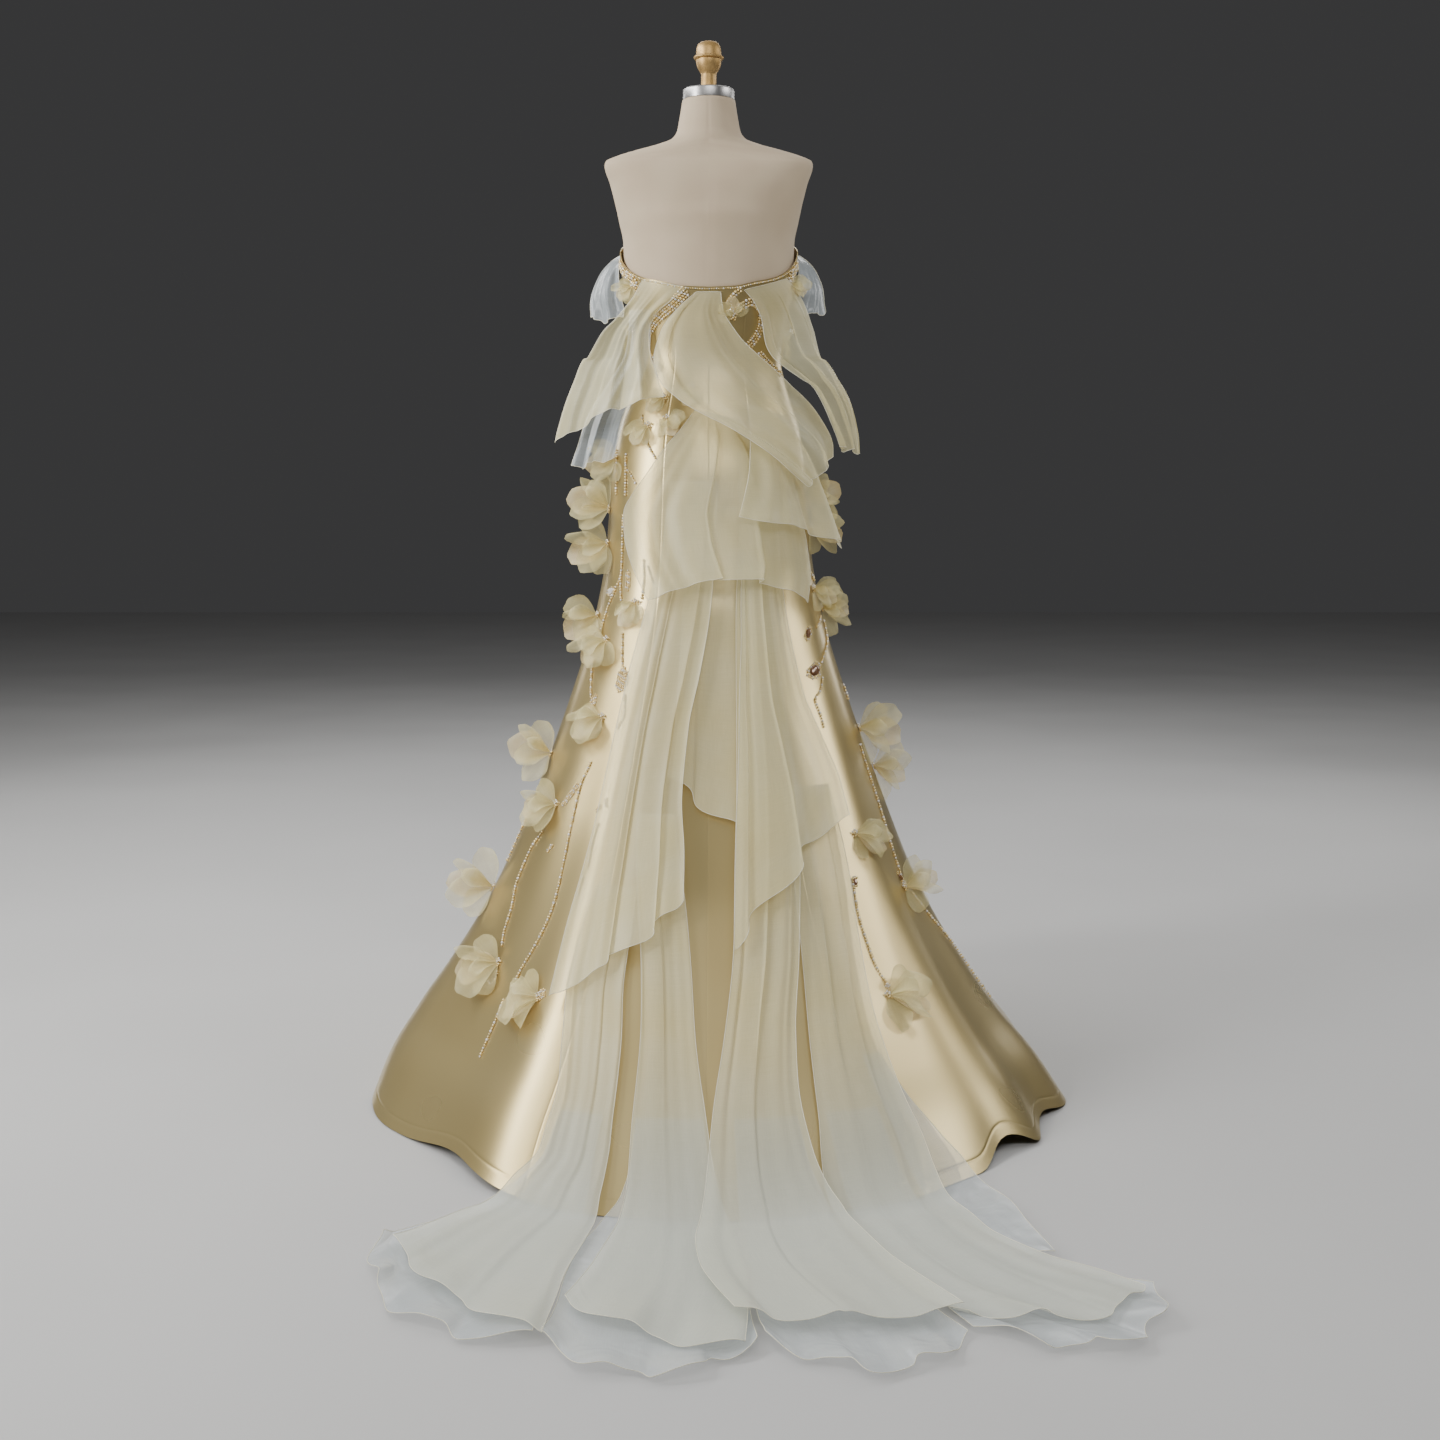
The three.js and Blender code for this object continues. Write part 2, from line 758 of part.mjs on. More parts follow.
// The normals of a grid of middle points, outwards.
function gridNormals(grid) {
  const rows = grid.length;
  const columns = grid[0].length;
  return grid.map((row, i) =>
    row.map((_, j) => {
      const across = new THREE.Vector3().subVectors(
        grid[i][Math.min(j + 1, columns - 1)],
        grid[i][Math.max(j - 1, 0)],
      );
      const down = new THREE.Vector3().subVectors(
        grid[Math.min(i + 1, rows - 1)][j],
        grid[Math.max(i - 1, 0)][j],
      );
      return down.cross(across).normalize();
    }),
  );
}

// Middle points moved half the thickness each way along the grid's own normals.
function clothGeometry(grid, thickness) {
  const normals = gridNormals(grid);
  const moved = (distance) =>
    grid.map((row, i) =>
      row.map((p, j) => p.clone().addScaledVector(normals[i][j], distance)),
    );
  return wallGeometry(moved(thickness / 2), moved(-thickness / 2));
}

function mesh(name, geometry, material) {
  const made = new THREE.Mesh(geometry, material);
  made.name = name;
  return made;
}

// ---------- the satin gown ----------

// A gore between two seams. Each edge stops half the seam gap short of its seam.
function gore({ name, from, to, columns }) {
  const heights = [
    ...Array.from({ length: BODICE_ROWS }, (_, i) => (angle) =>
      THREE.MathUtils.lerp(topHeight(angle), GORE_ROWS[0], i / BODICE_ROWS),
    ),
    ...GORE_ROWS.map((height) => () => height),
    hemHeight,
  ];
  const face = (inset) =>
    heights.map((heightAt) =>
      Array.from({ length: columns + 1 }, (_, j) => {
        const seam = from + ((to - from) * j) / columns;
        const h = heightAt(seam);
        const width = gownPoint(seam + 0.5, h, false).distanceTo(
          gownPoint(seam - 0.5, h, false),
        );
        const edge = j === 0 ? 1 : j === columns ? -1 : 0;
        const angle = seam + (edge * SEAM_GAP) / 2 / width;
        return gownPoint(angle, h, false).addScaledVector(
          gownNormal(seam, h, false).setZ(0).normalize(),
          -inset,
        );
      }),
    );
  return mesh(name, wallGeometry(face(0), face(SATIN)), MATERIALS.satin);
}

// ---------- draped organza ----------

// Uneven folds across a piece: a main wave and a slower one, together between -1 and 1.
function foldWave(u, waves, phase) {
  const main = Math.sin(2 * Math.PI * (waves * u + phase));
  const slow = Math.sin(2 * Math.PI * (0.43 * waves * u + 2.3 * phase));
  return 0.7 * main + 0.3 * slow;
}

function drape({ name, waves, phase, columns, sections }) {
  const grid = table(SECTION, sections).map((row) =>
    Array.from({ length: columns + 1 }, (_, j) => {
      const u = j / columns;
      const angle = THREE.MathUtils.lerp(row.left, row.right, u);
      const height =
        THREE.MathUtils.lerp(row.leftHeight, row.rightHeight, u) -
        row.drop * 4 * u * (1 - u);
      const off =
        THREE.MathUtils.lerp(row.leftOff, row.rightOff, u) +
        row.fold * foldWave(u, waves, phase);
      return gownPoint(angle, height).addScaledVector(
        gownNormal(angle, height),
        off,
      );
    }),
  );
  return mesh(name, clothGeometry(grid, ORGANZA), MATERIALS.organza);
}

// ---------- flowers ----------

// A shallow cup of petals: a sewn foot, a rim that goes in and out round the petals, and a hollow middle.
function flowerGeometry(radius, rise) {
  const points = [new THREE.Vector3(0, 0, 0)];
  const spokes = 2 * FLOWER_PETALS;
  const circle = (share, z, notched) => {
    for (let i = 0; i < spokes; i++) {
      const a = (2 * Math.PI * i) / spokes;
      const r = radius * share * (notched && i % 2 ? FLOWER_NOTCH : 1);
      points.push(new THREE.Vector3(r * Math.cos(a), r * Math.sin(a), z));
    }
  };
  circle(FLOWER_FOOT, 0, false);
  circle(1, rise - FLOWER_WALL, true);
  circle(1, rise, true);
  points.push(new THREE.Vector3(0, 0, FLOWER_WALL * 2));
  const faces = [];
  const last = points.length - 1;
  for (let i = 0; i < spokes; i++) {
    const next = (i + 1) % spokes;
    const [foot, under, over] = [1, 1 + spokes, 1 + 2 * spokes];
    faces.push(0, foot + next, foot + i);
    for (const [low, high] of [
      [foot, under],
      [under, over],
    ]) {
      faces.push(low + i, low + next, high + next);
      faces.push(low + i, high + next, high + i);
    }
    faces.push(over + i, over + next, last);
  }
  return new THREE.BufferGeometry().setFromPoints(points).setIndex(faces);
}

// Where a line from outside at an angle and height first meets the satin, and which way the cloth faces there.
function seatOn(satin, angle, height) {
  const normal = gownNormal(angle, height, false);
  const start = gownPoint(angle, height, false).addScaledVector(normal, 60);
  const ray = new THREE.Raycaster(start, normal.clone().negate());
  const hit = ray.intersectObjects(satin)[0];
  return { point: hit.point, normal: hit.face.normal.clone() };
}

function flower(row, index, satin) {
  const seat = seatOn(satin, row.angle, row.height);
  const made = mesh(
    `flower_${String(index + 1).padStart(2, "0")}`,
    flowerGeometry(row.radius, row.rise),
    MATERIALS.petal,
  );
  made.quaternion.setFromUnitVectors(new THREE.Vector3(0, 0, 1), seat.normal);
  made.position.copy(seat.point).addScaledVector(seat.normal, SEAM_GAP);
  return made;
}

// ---------- the dress form and its stand ----------

// A closed body through level sections, with a flat cap at each end.
function loftGeometry(sections, columns) {
  const positions = [];
  for (const s of sections)
    for (let j = 0; j < columns; j++) {
      const a = (2 * Math.PI * j) / columns;
      const power = 2 / s.square;
      const x = Math.sign(Math.cos(a)) * Math.abs(Math.cos(a)) ** power;
      const y = Math.sign(Math.sin(a)) * Math.abs(Math.sin(a)) ** power;
      const depth = y < 0 ? s.depthBack : s.depthFront;
      positions.push(s.halfWidth * x, s.centre + depth * y, s.height);
    }
  const [low, high] = [sections[0], sections.at(-1)];
  positions.push(0, low.centre, low.height, 0, high.centre, high.height);
  const bottom = sections.length * columns;
  const faces = [];
  for (let j = 0; j < columns; j++) {
    const next = (j + 1) % columns;
    for (let i = 0; i < sections.length - 1; i++) {
      const [a, b] = [i * columns + j, i * columns + next];
      faces.push(a, b, b + columns, a, b + columns, a + columns);
    }
    const top = (sections.length - 1) * columns;
    faces.push(bottom, next, j, bottom + 1, top + j, top + next);
  }
  return new THREE.BufferGeometry()
    .setAttribute("position", new THREE.Float32BufferAttribute(positions, 3))
    .setIndex(faces);
}

// Inside the gown the form follows the satin's inner face, less the ease.
function formSections() {
  const worn = FORM_WORN.map(({ height, ease }) => ({
    height,
    halfWidth: ring.halfWidth(height) - SATIN - ease,
    depthBack: ring.back(height) - SATIN - ease,
    depthFront: ring.front(height) - SATIN - ease,
    centre: ring.centre(height),
    square: 2,
  }));
  return [...worn, ...FORM_SHOULDERS];
}

// A turned piece round the form's axis, from a profile of [radius, height] that starts and ends on the axis.
function turned(name, profile, material, segments) {
  const lathe = new THREE.LatheGeometry(
    profile.map(([radius, height]) => new THREE.Vector2(radius, height)),
    segments,
  );
  lathe.deleteAttribute("normal");
  lathe.deleteAttribute("uv");
  lathe.rotateX(Math.PI / 2);
  return mesh(name, mergeVertices(lathe, 1e-4), material);
}

function formHardware() {
  const { baseRadius, baseHeight, baseEdge, poleRadius } = STAND;
  const { radius, bottom, top, bevel } = NECK_RING;
  const poleTop = FORM_BOTTOM - SEAM_GAP;
  const poleBottom = baseHeight + SEAM_GAP;
  const f = FINIAL.bottom;
  return [
    turned(
      "stand_base",
      [
        [0, 0],
        [baseRadius, 0],
        [baseRadius, baseHeight - baseEdge],
        [baseRadius - baseEdge, baseHeight],
        [0, baseHeight],
      ],
      MATERIALS.iron,
      32,
    ),
    turned(
      "stand_pole",
      [
        [0, poleBottom],
        [poleRadius, poleBottom],
        [poleRadius, poleTop],
        [0, poleTop],
      ],
      MATERIALS.steel,
      16,
    ),
    turned(
      "form_neck_ring",
      [
        [0, bottom],
        [radius, bottom],
        [radius, top - bevel],
        [radius - bevel, top],
        [0, top],
      ],
      MATERIALS.steel,
      28,
    ),
    turned(
      "form_finial",
      [
        [0, f],
        [16, f],
        [17.5, f + 3],
        [13, f + 7.5],
        [12, f + 27],
        [15, f + 30],
        [23.5, f + 44],
        [24, f + 52],
        [19, f + 57],
        [21, f + 62],
        [21.5, f + 69],
        [16, f + 76],
        [0, f + 78.5],
      ],
      MATERIALS.brass,
      20,
    ),
  ];
}

// ---------- the whole part ----------

const gown = new THREE.Group();
const gores = GORES.map(gore);
gown.add(...gores);
gown.add(...DRAPES.map(drape));
gown.add(...FLOWERS.map((row, index) => flower(row, index, gores)));

const form = new THREE.Group();
form.add(
  mesh("form_torso", loftGeometry(formSections(), FORM_COLUMNS), MATERIALS.linen),
  ...formHardware(),
);

const part = new THREE.Group();
part.add(gown, form);

export default part;
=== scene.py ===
"""A mermaid gown of satin and organza on a limbless dress form.

The gown's tables are in millimetres and degrees, as a pattern cutter writes them.
Everything that is handed to Blender is in metres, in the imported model's own frame.
"""

import logging
import math
from collections.abc import Callable, Sequence
from dataclasses import dataclass, field
from enum import Enum

import bpy
import numpy as np
from numpy.typing import NDArray
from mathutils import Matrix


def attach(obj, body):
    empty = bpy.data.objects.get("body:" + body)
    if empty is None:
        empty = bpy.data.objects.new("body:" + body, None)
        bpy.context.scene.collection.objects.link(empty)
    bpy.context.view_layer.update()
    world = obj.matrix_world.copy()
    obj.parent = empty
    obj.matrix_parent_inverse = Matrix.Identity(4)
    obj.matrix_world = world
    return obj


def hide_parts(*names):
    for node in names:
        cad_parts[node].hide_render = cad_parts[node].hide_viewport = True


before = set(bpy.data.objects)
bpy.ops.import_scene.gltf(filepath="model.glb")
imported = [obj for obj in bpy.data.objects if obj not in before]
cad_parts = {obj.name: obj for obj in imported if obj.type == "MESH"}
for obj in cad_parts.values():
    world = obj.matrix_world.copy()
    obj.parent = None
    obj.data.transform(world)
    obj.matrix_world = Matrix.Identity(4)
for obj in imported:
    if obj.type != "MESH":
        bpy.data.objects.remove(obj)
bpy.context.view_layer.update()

Array = NDArray[np.float64]
Piece = bpy.types.Object
log = logging.getLogger("gown")

MM = 0.001
BODY = "root"


class Slot(Enum):
    """Names of the material slots."""

    SATIN = "satin"
    ORGANZA = "organza"
    PETAL = "petal"
    LINEN = "linen"
    STEEL = "steel"
    BRASS = "brass"
    IRON = "iron"


class Held(Enum):
    """How a sheet of cloth is held."""

    DRAPED = "draped"
    STRETCHED = "stretched"


# ---------------------------------------------------------------- curves


def monotone(keys: Sequence[float], values: Sequence[float]) -> Callable[[Array], Array]:
    """A monotone cubic through points, flat where they turn back.

    Args:
        keys: Rising positions.
        values: The value at each position.

    Returns:
        A function of an array of positions, held at the ends.
    """
    x = np.asarray(keys, float)
    y = np.asarray(values, float)
    slopes = np.diff(y) / np.diff(x)
    tangents = np.empty_like(y)
    tangents[0], tangents[-1] = slopes[0], slopes[-1]
    before, after = slopes[:-1], slopes[1:]
    same = before * after > 0
    total = np.where(same, before + after, 1.0)
    tangents[1:-1] = np.where(same, 2 * before * after / total, 0.0)

    def at(value: Array) -> Array:
        """The curve's value at each position."""
        v = np.clip(np.asarray(value, float), x[0], x[-1])
        i = np.clip(np.searchsorted(x, v, side="right") - 1, 0, len(x) - 2)
        span = x[i + 1] - x[i]
        t = (v - x[i]) / span
        u = 1 - t
        return (
            (1 + 2 * t) * u * u * y[i]
            + t * u * u * span * tangents[i]
            + t * t * (3 - 2 * t) * y[i + 1]
            - t * t * u * span * tangents[i + 1]
        )

    return at


def smooth_step(low: float, high: float, value: Array) -> Array:
    """A smooth rise from 0 at low to 1 at high."""
    t = np.clip((np.asarray(value, float) - low) / (high - low), 0, 1)
    return t * t * (3 - 2 * t)


def lerp(a: Array, b: Array, t: Array) -> Array:
    """The value a share t of the way from a to b."""
    return a + (b - a) * t


def unit(vectors: Array) -> Array:
    """Vectors at length 1."""
    return vectors / np.linalg.norm(vectors, axis=-1, keepdims=True)


# ---------------------------------------------------------------- the gown's tables

# height, half width, depth to the back, depth to the front, centre
RINGS = np.array(
    [
        [0, 540, 572, 690, -360],
        [58, 505, 510, 629, -325],
        [115, 458, 452, 573, -293],
        [175, 416, 393, 523, -267],
        [266, 363, 322, 454, -228],
        [328, 334, 281, 411, -204],
        [391, 309, 251, 369, -179],
        [487, 273, 210, 306, -140],
        [584, 238, 174, 254, -106],
        [683, 206, 149, 204, -71],
        [750, 189, 135, 175, -50],
        [818, 178, 129, 149, -31],
        [886, 173, 124, 130, -18],
        [960, 168, 121, 121, -10],
        [1040, 156, 107, 107, -2],
        [1100, 137, 97, 97, 3],
        [1157, 124, 90, 90, 4],
        [1215, 132, 99, 99, 8],
        [1275, 146, 112, 112, 14],
        [1320, 152, 118, 118, 18],
        [1360, 153, 112, 112, 12],
    ],
    float,
)

# angle, spread, depth, reach
FLUTES = np.array(
    [
        [-160, 15, 20, 520],
        [-128, 16, 18, 500],
        [-92, 26, -46, 140],
        [-86, 16, 26, 500],
        [-55, 24, -44, 430],
        [-32, 13, 6, 380],
        [2, 13, 5, 360],
        [30, 12, 6, 380],
        [59, 9, 14, 420],
        [81, 12, 26, 460],
        [106, 14, 18, 520],
        [136, 15, 20, 480],
        [170, 15, 18, 520],
    ],
    float,
)

# angle, spread, lift
HEM_LIFTS = np.array(
    [
        [-145, 11, 14],
        [-112, 10, 10],
        [-80, 9, 6],
        [-42, 22, 16],
        [54, 9, 22],
        [70, 10, 12],
        [92, 8, 12],
        [121, 10, 12],
        [153, 11, 14],
    ],
    float,
)

# angle, height
NECKLINE = np.array(
    [
        [0, 1270],
        [16, 1272],
        [33, 1281],
        [49, 1290],
        [65, 1306],
        [90, 1340],
        [115, 1358],
        [150, 1364],
        [180, 1344],
    ],
    float,
)

# in millimetres
SATIN_WALL = 1.6
HEM_CLEARANCE = 0.6
FLOOR_FILLET = 60.0
LEAST_STAND_OFF = 0.75
UNEVEN = 1.0
FOLD_DEPTH = 7.0
FOLDS_FROM = 300.0
FOLDS_TO = 790.0


class GownMap:
    """The gown's outer face as a map of an angle round the body and a height.

    An angle of 0 is the centre back and a positive one turns towards +X. A height
    below zero is a run out along the floor from the hem.
    """

    def __init__(self) -> None:
        """Make a curve of every column of the rings."""
        heights = RINGS[:, 0]
        self.half_width = monotone(heights, RINGS[:, 1])
        self.back = monotone(heights, RINGS[:, 2])
        self.front = monotone(heights, RINGS[:, 3])
        self.centre = monotone(heights, RINGS[:, 4])
        self.neckline = monotone(NECKLINE[:, 0], NECKLINE[:, 1])

    @staticmethod
    def turn(start: float, angle: Array) -> Array:
        """The signed turn from one angle to another, in -180..180."""
        return (np.asarray(angle, float) - start + 180) % 360 - 180

    def bump(self, angle_at: float, spread: float, angle: Array) -> Array:
        """A bump of height 1 at its angle that falls smoothly to 0 at its spread."""
        t = np.abs(self.turn(angle_at, angle)) / spread
        return np.where(t < 1, np.cos(np.clip(t, 0, 1) * math.pi / 2) ** 2, 0.0)

    def flute(self, angle: Array, height: Array) -> Array:
        """How far the flutes stand out of the skirt."""
        total = np.zeros(np.broadcast(angle, height).shape)
        for at, spread, depth, reach in FLUTES:
            share = np.clip(1 - np.asarray(height) / reach, 0, 1)
            total = total + depth * self.bump(at, spread, angle) * share**1.5
        return total

    def hem(self, angle: Array) -> Array:
        """The height of the satin's hem over the floor."""
        total = np.full(np.shape(angle), HEM_CLEARANCE)
        for at, spread, lift in HEM_LIFTS:
            total = total + lift * self.bump(at, spread, angle)
        return total

    def top(self, angle: Array) -> Array:
        """The height of the neckline."""
        return self.neckline(np.abs(self.turn(0, angle)))

    @staticmethod
    def ease(angle: Array, height: Array) -> Array:
        """How far the satin sinks in its soft folds, in millimetres and never outwards."""
        a, h = np.radians(angle), np.asarray(height) / 1000
        small = (
            np.sin(7 * a + 5.1 * h + 0.6)
            + 0.7 * np.sin(13 * a - 9.3 * h + 2.1)
            + 0.5 * np.sin(5 * a + 19.7 * h + 4.0)
        )
        long = (
            np.sin(9 * a + 1.6 * h + 1.3)
            + 0.55 * np.sin(17 * a - 2.4 * h + 2.9)
            + 0.3 * np.sin(4 * a + 7.7 * h)
        )
        share = 1 - smooth_step(FOLDS_FROM, FOLDS_TO, height)
        return UNEVEN * (0.5 + small / 4.4) + FOLD_DEPTH * share * (0.5 + long / 3.7)

    def point(self, angle: Array, height: Array, on_floor: bool = True) -> Array:
        """Points of the outer face, in millimetres.

        Args:
            angle: Angles in degrees.
            height: Heights in millimetres, of the same shape.
            on_floor: Whether the cloth turns out to the floor at the bottom.

        Returns:
            Points in an array with one more axis, of 3.
        """
        angle, height = np.broadcast_arrays(
            np.asarray(angle, float), np.asarray(height, float)
        )
        rise, run = height, np.zeros_like(height)
        if on_floor:
            f = FLOOR_FILLET
            turning = np.abs(height) < f
            rise = np.where(turning, (height + f) ** 2 / (4 * f), np.maximum(height, 0))
            run = np.where(turning, (f - height) ** 2 / (4 * f), np.maximum(-height, 0))
        out = run + self.flute(angle, rise) - self.ease(angle, rise)
        a = np.radians(angle)
        depth = np.where(np.cos(a) > 0, self.back(rise), self.front(rise))
        return np.stack(
            [
                (self.half_width(rise) + out) * np.sin(a),
                self.centre(rise) - (depth + out) * np.cos(a),
                rise,
            ],
            axis=-1,
        )

    def normal(self, angle: Array, height: Array, on_floor: bool = True) -> Array:
        """Outward normals of the outer face at the same places as point."""
        angle = np.asarray(angle, float)
        height = np.asarray(height, float)
        across = self.point(angle + 0.5, height, on_floor) - self.point(
            angle - 0.5, height, on_floor
        )
        down = self.point(angle, height - 5, on_floor) - self.point(
            angle, height + 5, on_floor
        )
        return unit(np.cross(down, across))

    def frame_at(self, angle: float, height: float) -> tuple[Array, Array]:
        """A place on the satin and the three directions there: across, up and out."""
        out = self.normal(angle, height, False)
        across = unit(np.cross([0.0, 0.0, 1.0], out))
        return self.point(angle, height, False), np.stack([across, np.cross(out, across), out])

    def off(self, angle: Array, height: Array, distance: Array) -> Array:
        """Points a distance off the outer face, in millimetres."""
        stand = np.asarray(distance, float)[..., None]
        return self.point(angle, height) + self.normal(angle, height) * stand


# ---------------------------------------------------------------- meshes


@dataclass
class MeshParts:
    """Vertices and faces gathered for one mesh, with a material number for each face."""

    points: list[Array] = field(default_factory=list)
    faces: list[NDArray[np.int64]] = field(default_factory=list)
    slots: list[NDArray[np.int64]] = field(default_factory=list)
    uvs: list[Array] = field(default_factory=list)
    count: int = 0

    def add(
        self,
        points: Array,
        faces: NDArray[np.int64],
        slot: int = 0,
        uv: Array | None = None,
    ) -> None:
        """Add a piece.

        Args:
            points: Its points in metres, n by 3.
            faces: Its faces of three or four corners, m by 3 or 4.
            slot: The material number of its faces.
            uv: Its points' places on the flat cloth in metres, n by 2.
        """
        if faces.shape[1] == 3:
            faces = np.hstack([faces, np.full((len(faces), 1), -1)])
        moved = np.where(faces >= 0, faces + self.count, -1)
        self.points.append(points)
        self.faces.append(moved)
        self.slots.append(np.full(len(faces), slot))
        self.uvs.append(points[:, :2] if uv is None else uv)
        self.count += len(points)

    def build(
        self, name: str, materials: Sequence[bpy.types.Material], smooth: float = 50.0
    ) -> Piece:
        """Make the object.

        Args:
            name: The object's name.
            materials: Its materials, in the order of the material numbers.
            smooth: The angle in degrees up to which neighbouring faces are shaded as one.

        Returns:
            The new object, at the origin.
        """
        points = np.vstack(self.points)
        rows = np.vstack(self.faces)
        uv = np.vstack(self.uvs)
        corners = np.where(rows[:, 3] < 0, 3, 4)
        flat = rows.ravel()[(rows >= 0).ravel()]
        mesh = bpy.data.meshes.new(name)
        mesh.vertices.add(len(points))
        mesh.vertices.foreach_set("co", points.ravel())
        mesh.loops.add(len(flat))
        mesh.loops.foreach_set("vertex_index", flat)
        mesh.polygons.add(len(corners))
        starts = np.concatenate([[0], np.cumsum(corners)[:-1]])
        mesh.polygons.foreach_set("loop_start", starts)
        mesh.polygons.foreach_set("material_index", np.concatenate(self.slots))
        layer = mesh.uv_layers.new(name="cloth")
        layer.data.foreach_set("uv", uv[flat].ravel())
        mesh.update(calc_edges=True)
        mesh.validate()
        for material in materials:
            mesh.materials.append(material)
        made = bpy.data.objects.new(name, mesh)
        bpy.context.collection.objects.link(made)
        select_only(made)
        bpy.ops.object.shade_smooth_by_angle(angle=math.radians(smooth))
        return made


def select_only(made: Piece) -> None:
    """Select one object and make it active, with everything else deselected."""
    bpy.ops.object.select_all(action="DESELECT")
    made.select_set(True)
    bpy.context.view_layer.objects.active = made


def grid_faces(rows: int, columns: int, flipped: bool = False) -> NDArray[np.int64]:
    """The quads of a grid whose rows run down and whose columns run to the right."""
    i, j = np.meshgrid(np.arange(rows - 1), np.arange(columns - 1), indexing="ij")
    a = (i * columns + j).ravel()
    quads = np.stack([a, a + columns, a + columns + 1, a + 1], axis=1)
    return quads[:, ::-1] if flipped else quads


def grid_border(rows: int, columns: int) -> NDArray[np.int64]:
    """The border of a grid, once round."""
    top = np.arange(columns - 1)
    right = np.arange(rows - 1) * columns + columns - 1
    bottom = (rows - 1) * columns + np.arange(columns - 1, 0, -1)
    left = np.arange(rows - 1, 0, -1) * columns
    return np.concatenate([top, right, bottom, left])


def flat_places(grid: Array) -> Array:
    """Each point's place on the flat cloth: along its row from the middle, and down."""
    steps = np.linalg.norm(np.diff(grid, axis=1), axis=2)
    along = np.concatenate([np.zeros((len(grid), 1)), np.cumsum(steps, axis=1)], axis=1)
    along = along - along[:, -1:] / 2
    drops = np.linalg.norm(np.diff(grid, axis=0), axis=2).mean(axis=1)
    down = np.concatenate([[0], np.cumsum(drops)])[:, None] + np.zeros_like(along)
    return np.stack([along, -down], axis=-1)


def dress(made: Piece, node: str | None = None) -> None:
    """Say what a piece rides on, which node it replaces, if any."""
    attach(made, BODY)
    if node:
        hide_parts(node)


@dataclass(frozen=True)
class Cut:
    """The flat size of a sheet of cloth, in metres and square metres."""

    width: float
    length: float
    area: float

    @classmethod
    def of_grid(cls, grid: Array) -> "Cut":
        """Measure a grid of points as a pattern cutter does, along its threads."""
        rows = np.linalg.norm(np.diff(grid, axis=1), axis=2).sum(axis=1)
        down = np.linalg.norm(np.diff(grid, axis=0), axis=2).sum(axis=0).max()
        a, b = grid[:-1, :-1] - grid[1:, 1:], grid[1:, :-1] - grid[:-1, 1:]
        area = np.linalg.norm(np.cross(a, b), axis=2).sum() / 2
        across = max(np.percentile(rows, 75), 1.02 * area / down)
        return cls(round(float(across), 3), round(float(down), 3), round(float(area), 4))

    def declare(self, made: Piece, held: Held, rests: Sequence[str]) -> None:
        """Log the cut of a piece of cloth.

        Args:
            made: The piece.
            held: How it is held; not used.
            rests: The nodes that it rests on; not used.
        """
        log.info("%s cut %.3f by %.3f, %.3f", made.name, self.width, self.length, self.area)


def running_length(path: Array) -> Array:
    """The length of a path from its start to each of its points."""
    steps = np.linalg.norm(np.diff(path, axis=0), axis=1)
    return np.concatenate([[0], np.cumsum(steps)])


def tube(path: Array, radius: float, sides: int, closed: bool) -> tuple[Array, Array]:
    """A round tube along a path.

    Args:
        path: Points in metres.
        radius: The tube's radius in metres.
        sides: The number of its sides.
        closed: Whether the path joins up.

    Returns:
        The tube's points and its faces, with capped ends where it is open.
    """
    n = len(path)
    ahead = np.roll(path, -1, axis=0) - np.roll(path, 1, axis=0)
    if not closed:
        ahead[0], ahead[-1] = path[1] - path[0], path[-1] - path[-2]
    ahead = unit(ahead)
    side = np.empty_like(path)
    start = np.cross(ahead[0], [0.0, 0.0, 1.0])
    if np.linalg.norm(start) < 0.1:
        start = np.cross(ahead[0], [1.0, 0.0, 0.0])
    side[0] = unit(start)
    for i in range(1, n):
        moved = side[i - 1] - ahead[i] * np.dot(side[i - 1], ahead[i])
        side[i] = moved / np.linalg.norm(moved)
    over = np.cross(ahead, side)
    turns = 2 * math.pi * np.arange(sides) / sides
    rings = (
        path[:, None]
        + radius * np.cos(turns)[None, :, None] * side[:, None]
        + radius * np.sin(turns)[None, :, None] * over[:, None]
    )
    last = n if closed else n - 1
    i, j = np.meshgrid(np.arange(last), np.arange(sides), indexing="ij")
    i, j = i.ravel(), j.ravel()
    k, m = (i + 1) % n, (j + 1) % sides
    faces = np.stack(
        [i * sides + j, i * sides + m, k * sides + m, k * sides + j], axis=1
    )
    points = rings.reshape(-1, 3)
    if closed:
        return points, faces
    ends = np.vstack([points, path[:1], path[-1:]])
    j = np.arange(sides)
    m = (j + 1) % sides
    first, final = n * sides, n * sides + 1
    none = np.full(sides, -1)
    low = np.stack([np.full(sides, first), m, j, none], axis=1)
    base = (n - 1) * sides
    high = np.stack([np.full(sides, final), base + j, base + m, none], axis=1)
    return ends, np.vstack([faces, low, high])


def ball_shape() -> tuple[Array, NDArray[np.int64]]:
    """A ball of 32 faces and radius 1."""
    corners = [
        np.array(p, float)
        for p in [(1, 0, 0), (-1, 0, 0), (0, 1, 0), (0, -1, 0), (0, 0, 1), (0, 0, -1)]
    ]
    base = [
        (0, 2, 4), (2, 1, 4), (1, 3, 4), (3, 0, 4),
        (2, 0, 5), (1, 2, 5), (3, 1, 5), (0, 3, 5),
    ]
    middles: dict[tuple[int, int], int] = {}

    def middle(a: int, b: int) -> int:
        """The number of the corner between two others."""
        key = (min(a, b), max(a, b))
        if key not in middles:
            middles[key] = len(corners)
            corners.append(unit(corners[a] + corners[b]))
        return middles[key]

    faces = []
    for a, b, c in base:
        ab, bc, ca = middle(a, b), middle(b, c), middle(c, a)
        faces += [(a, ab, ca), (ab, b, bc), (ca, bc, c), (ab, bc, ca)]
    return np.array(corners), np.array(faces)


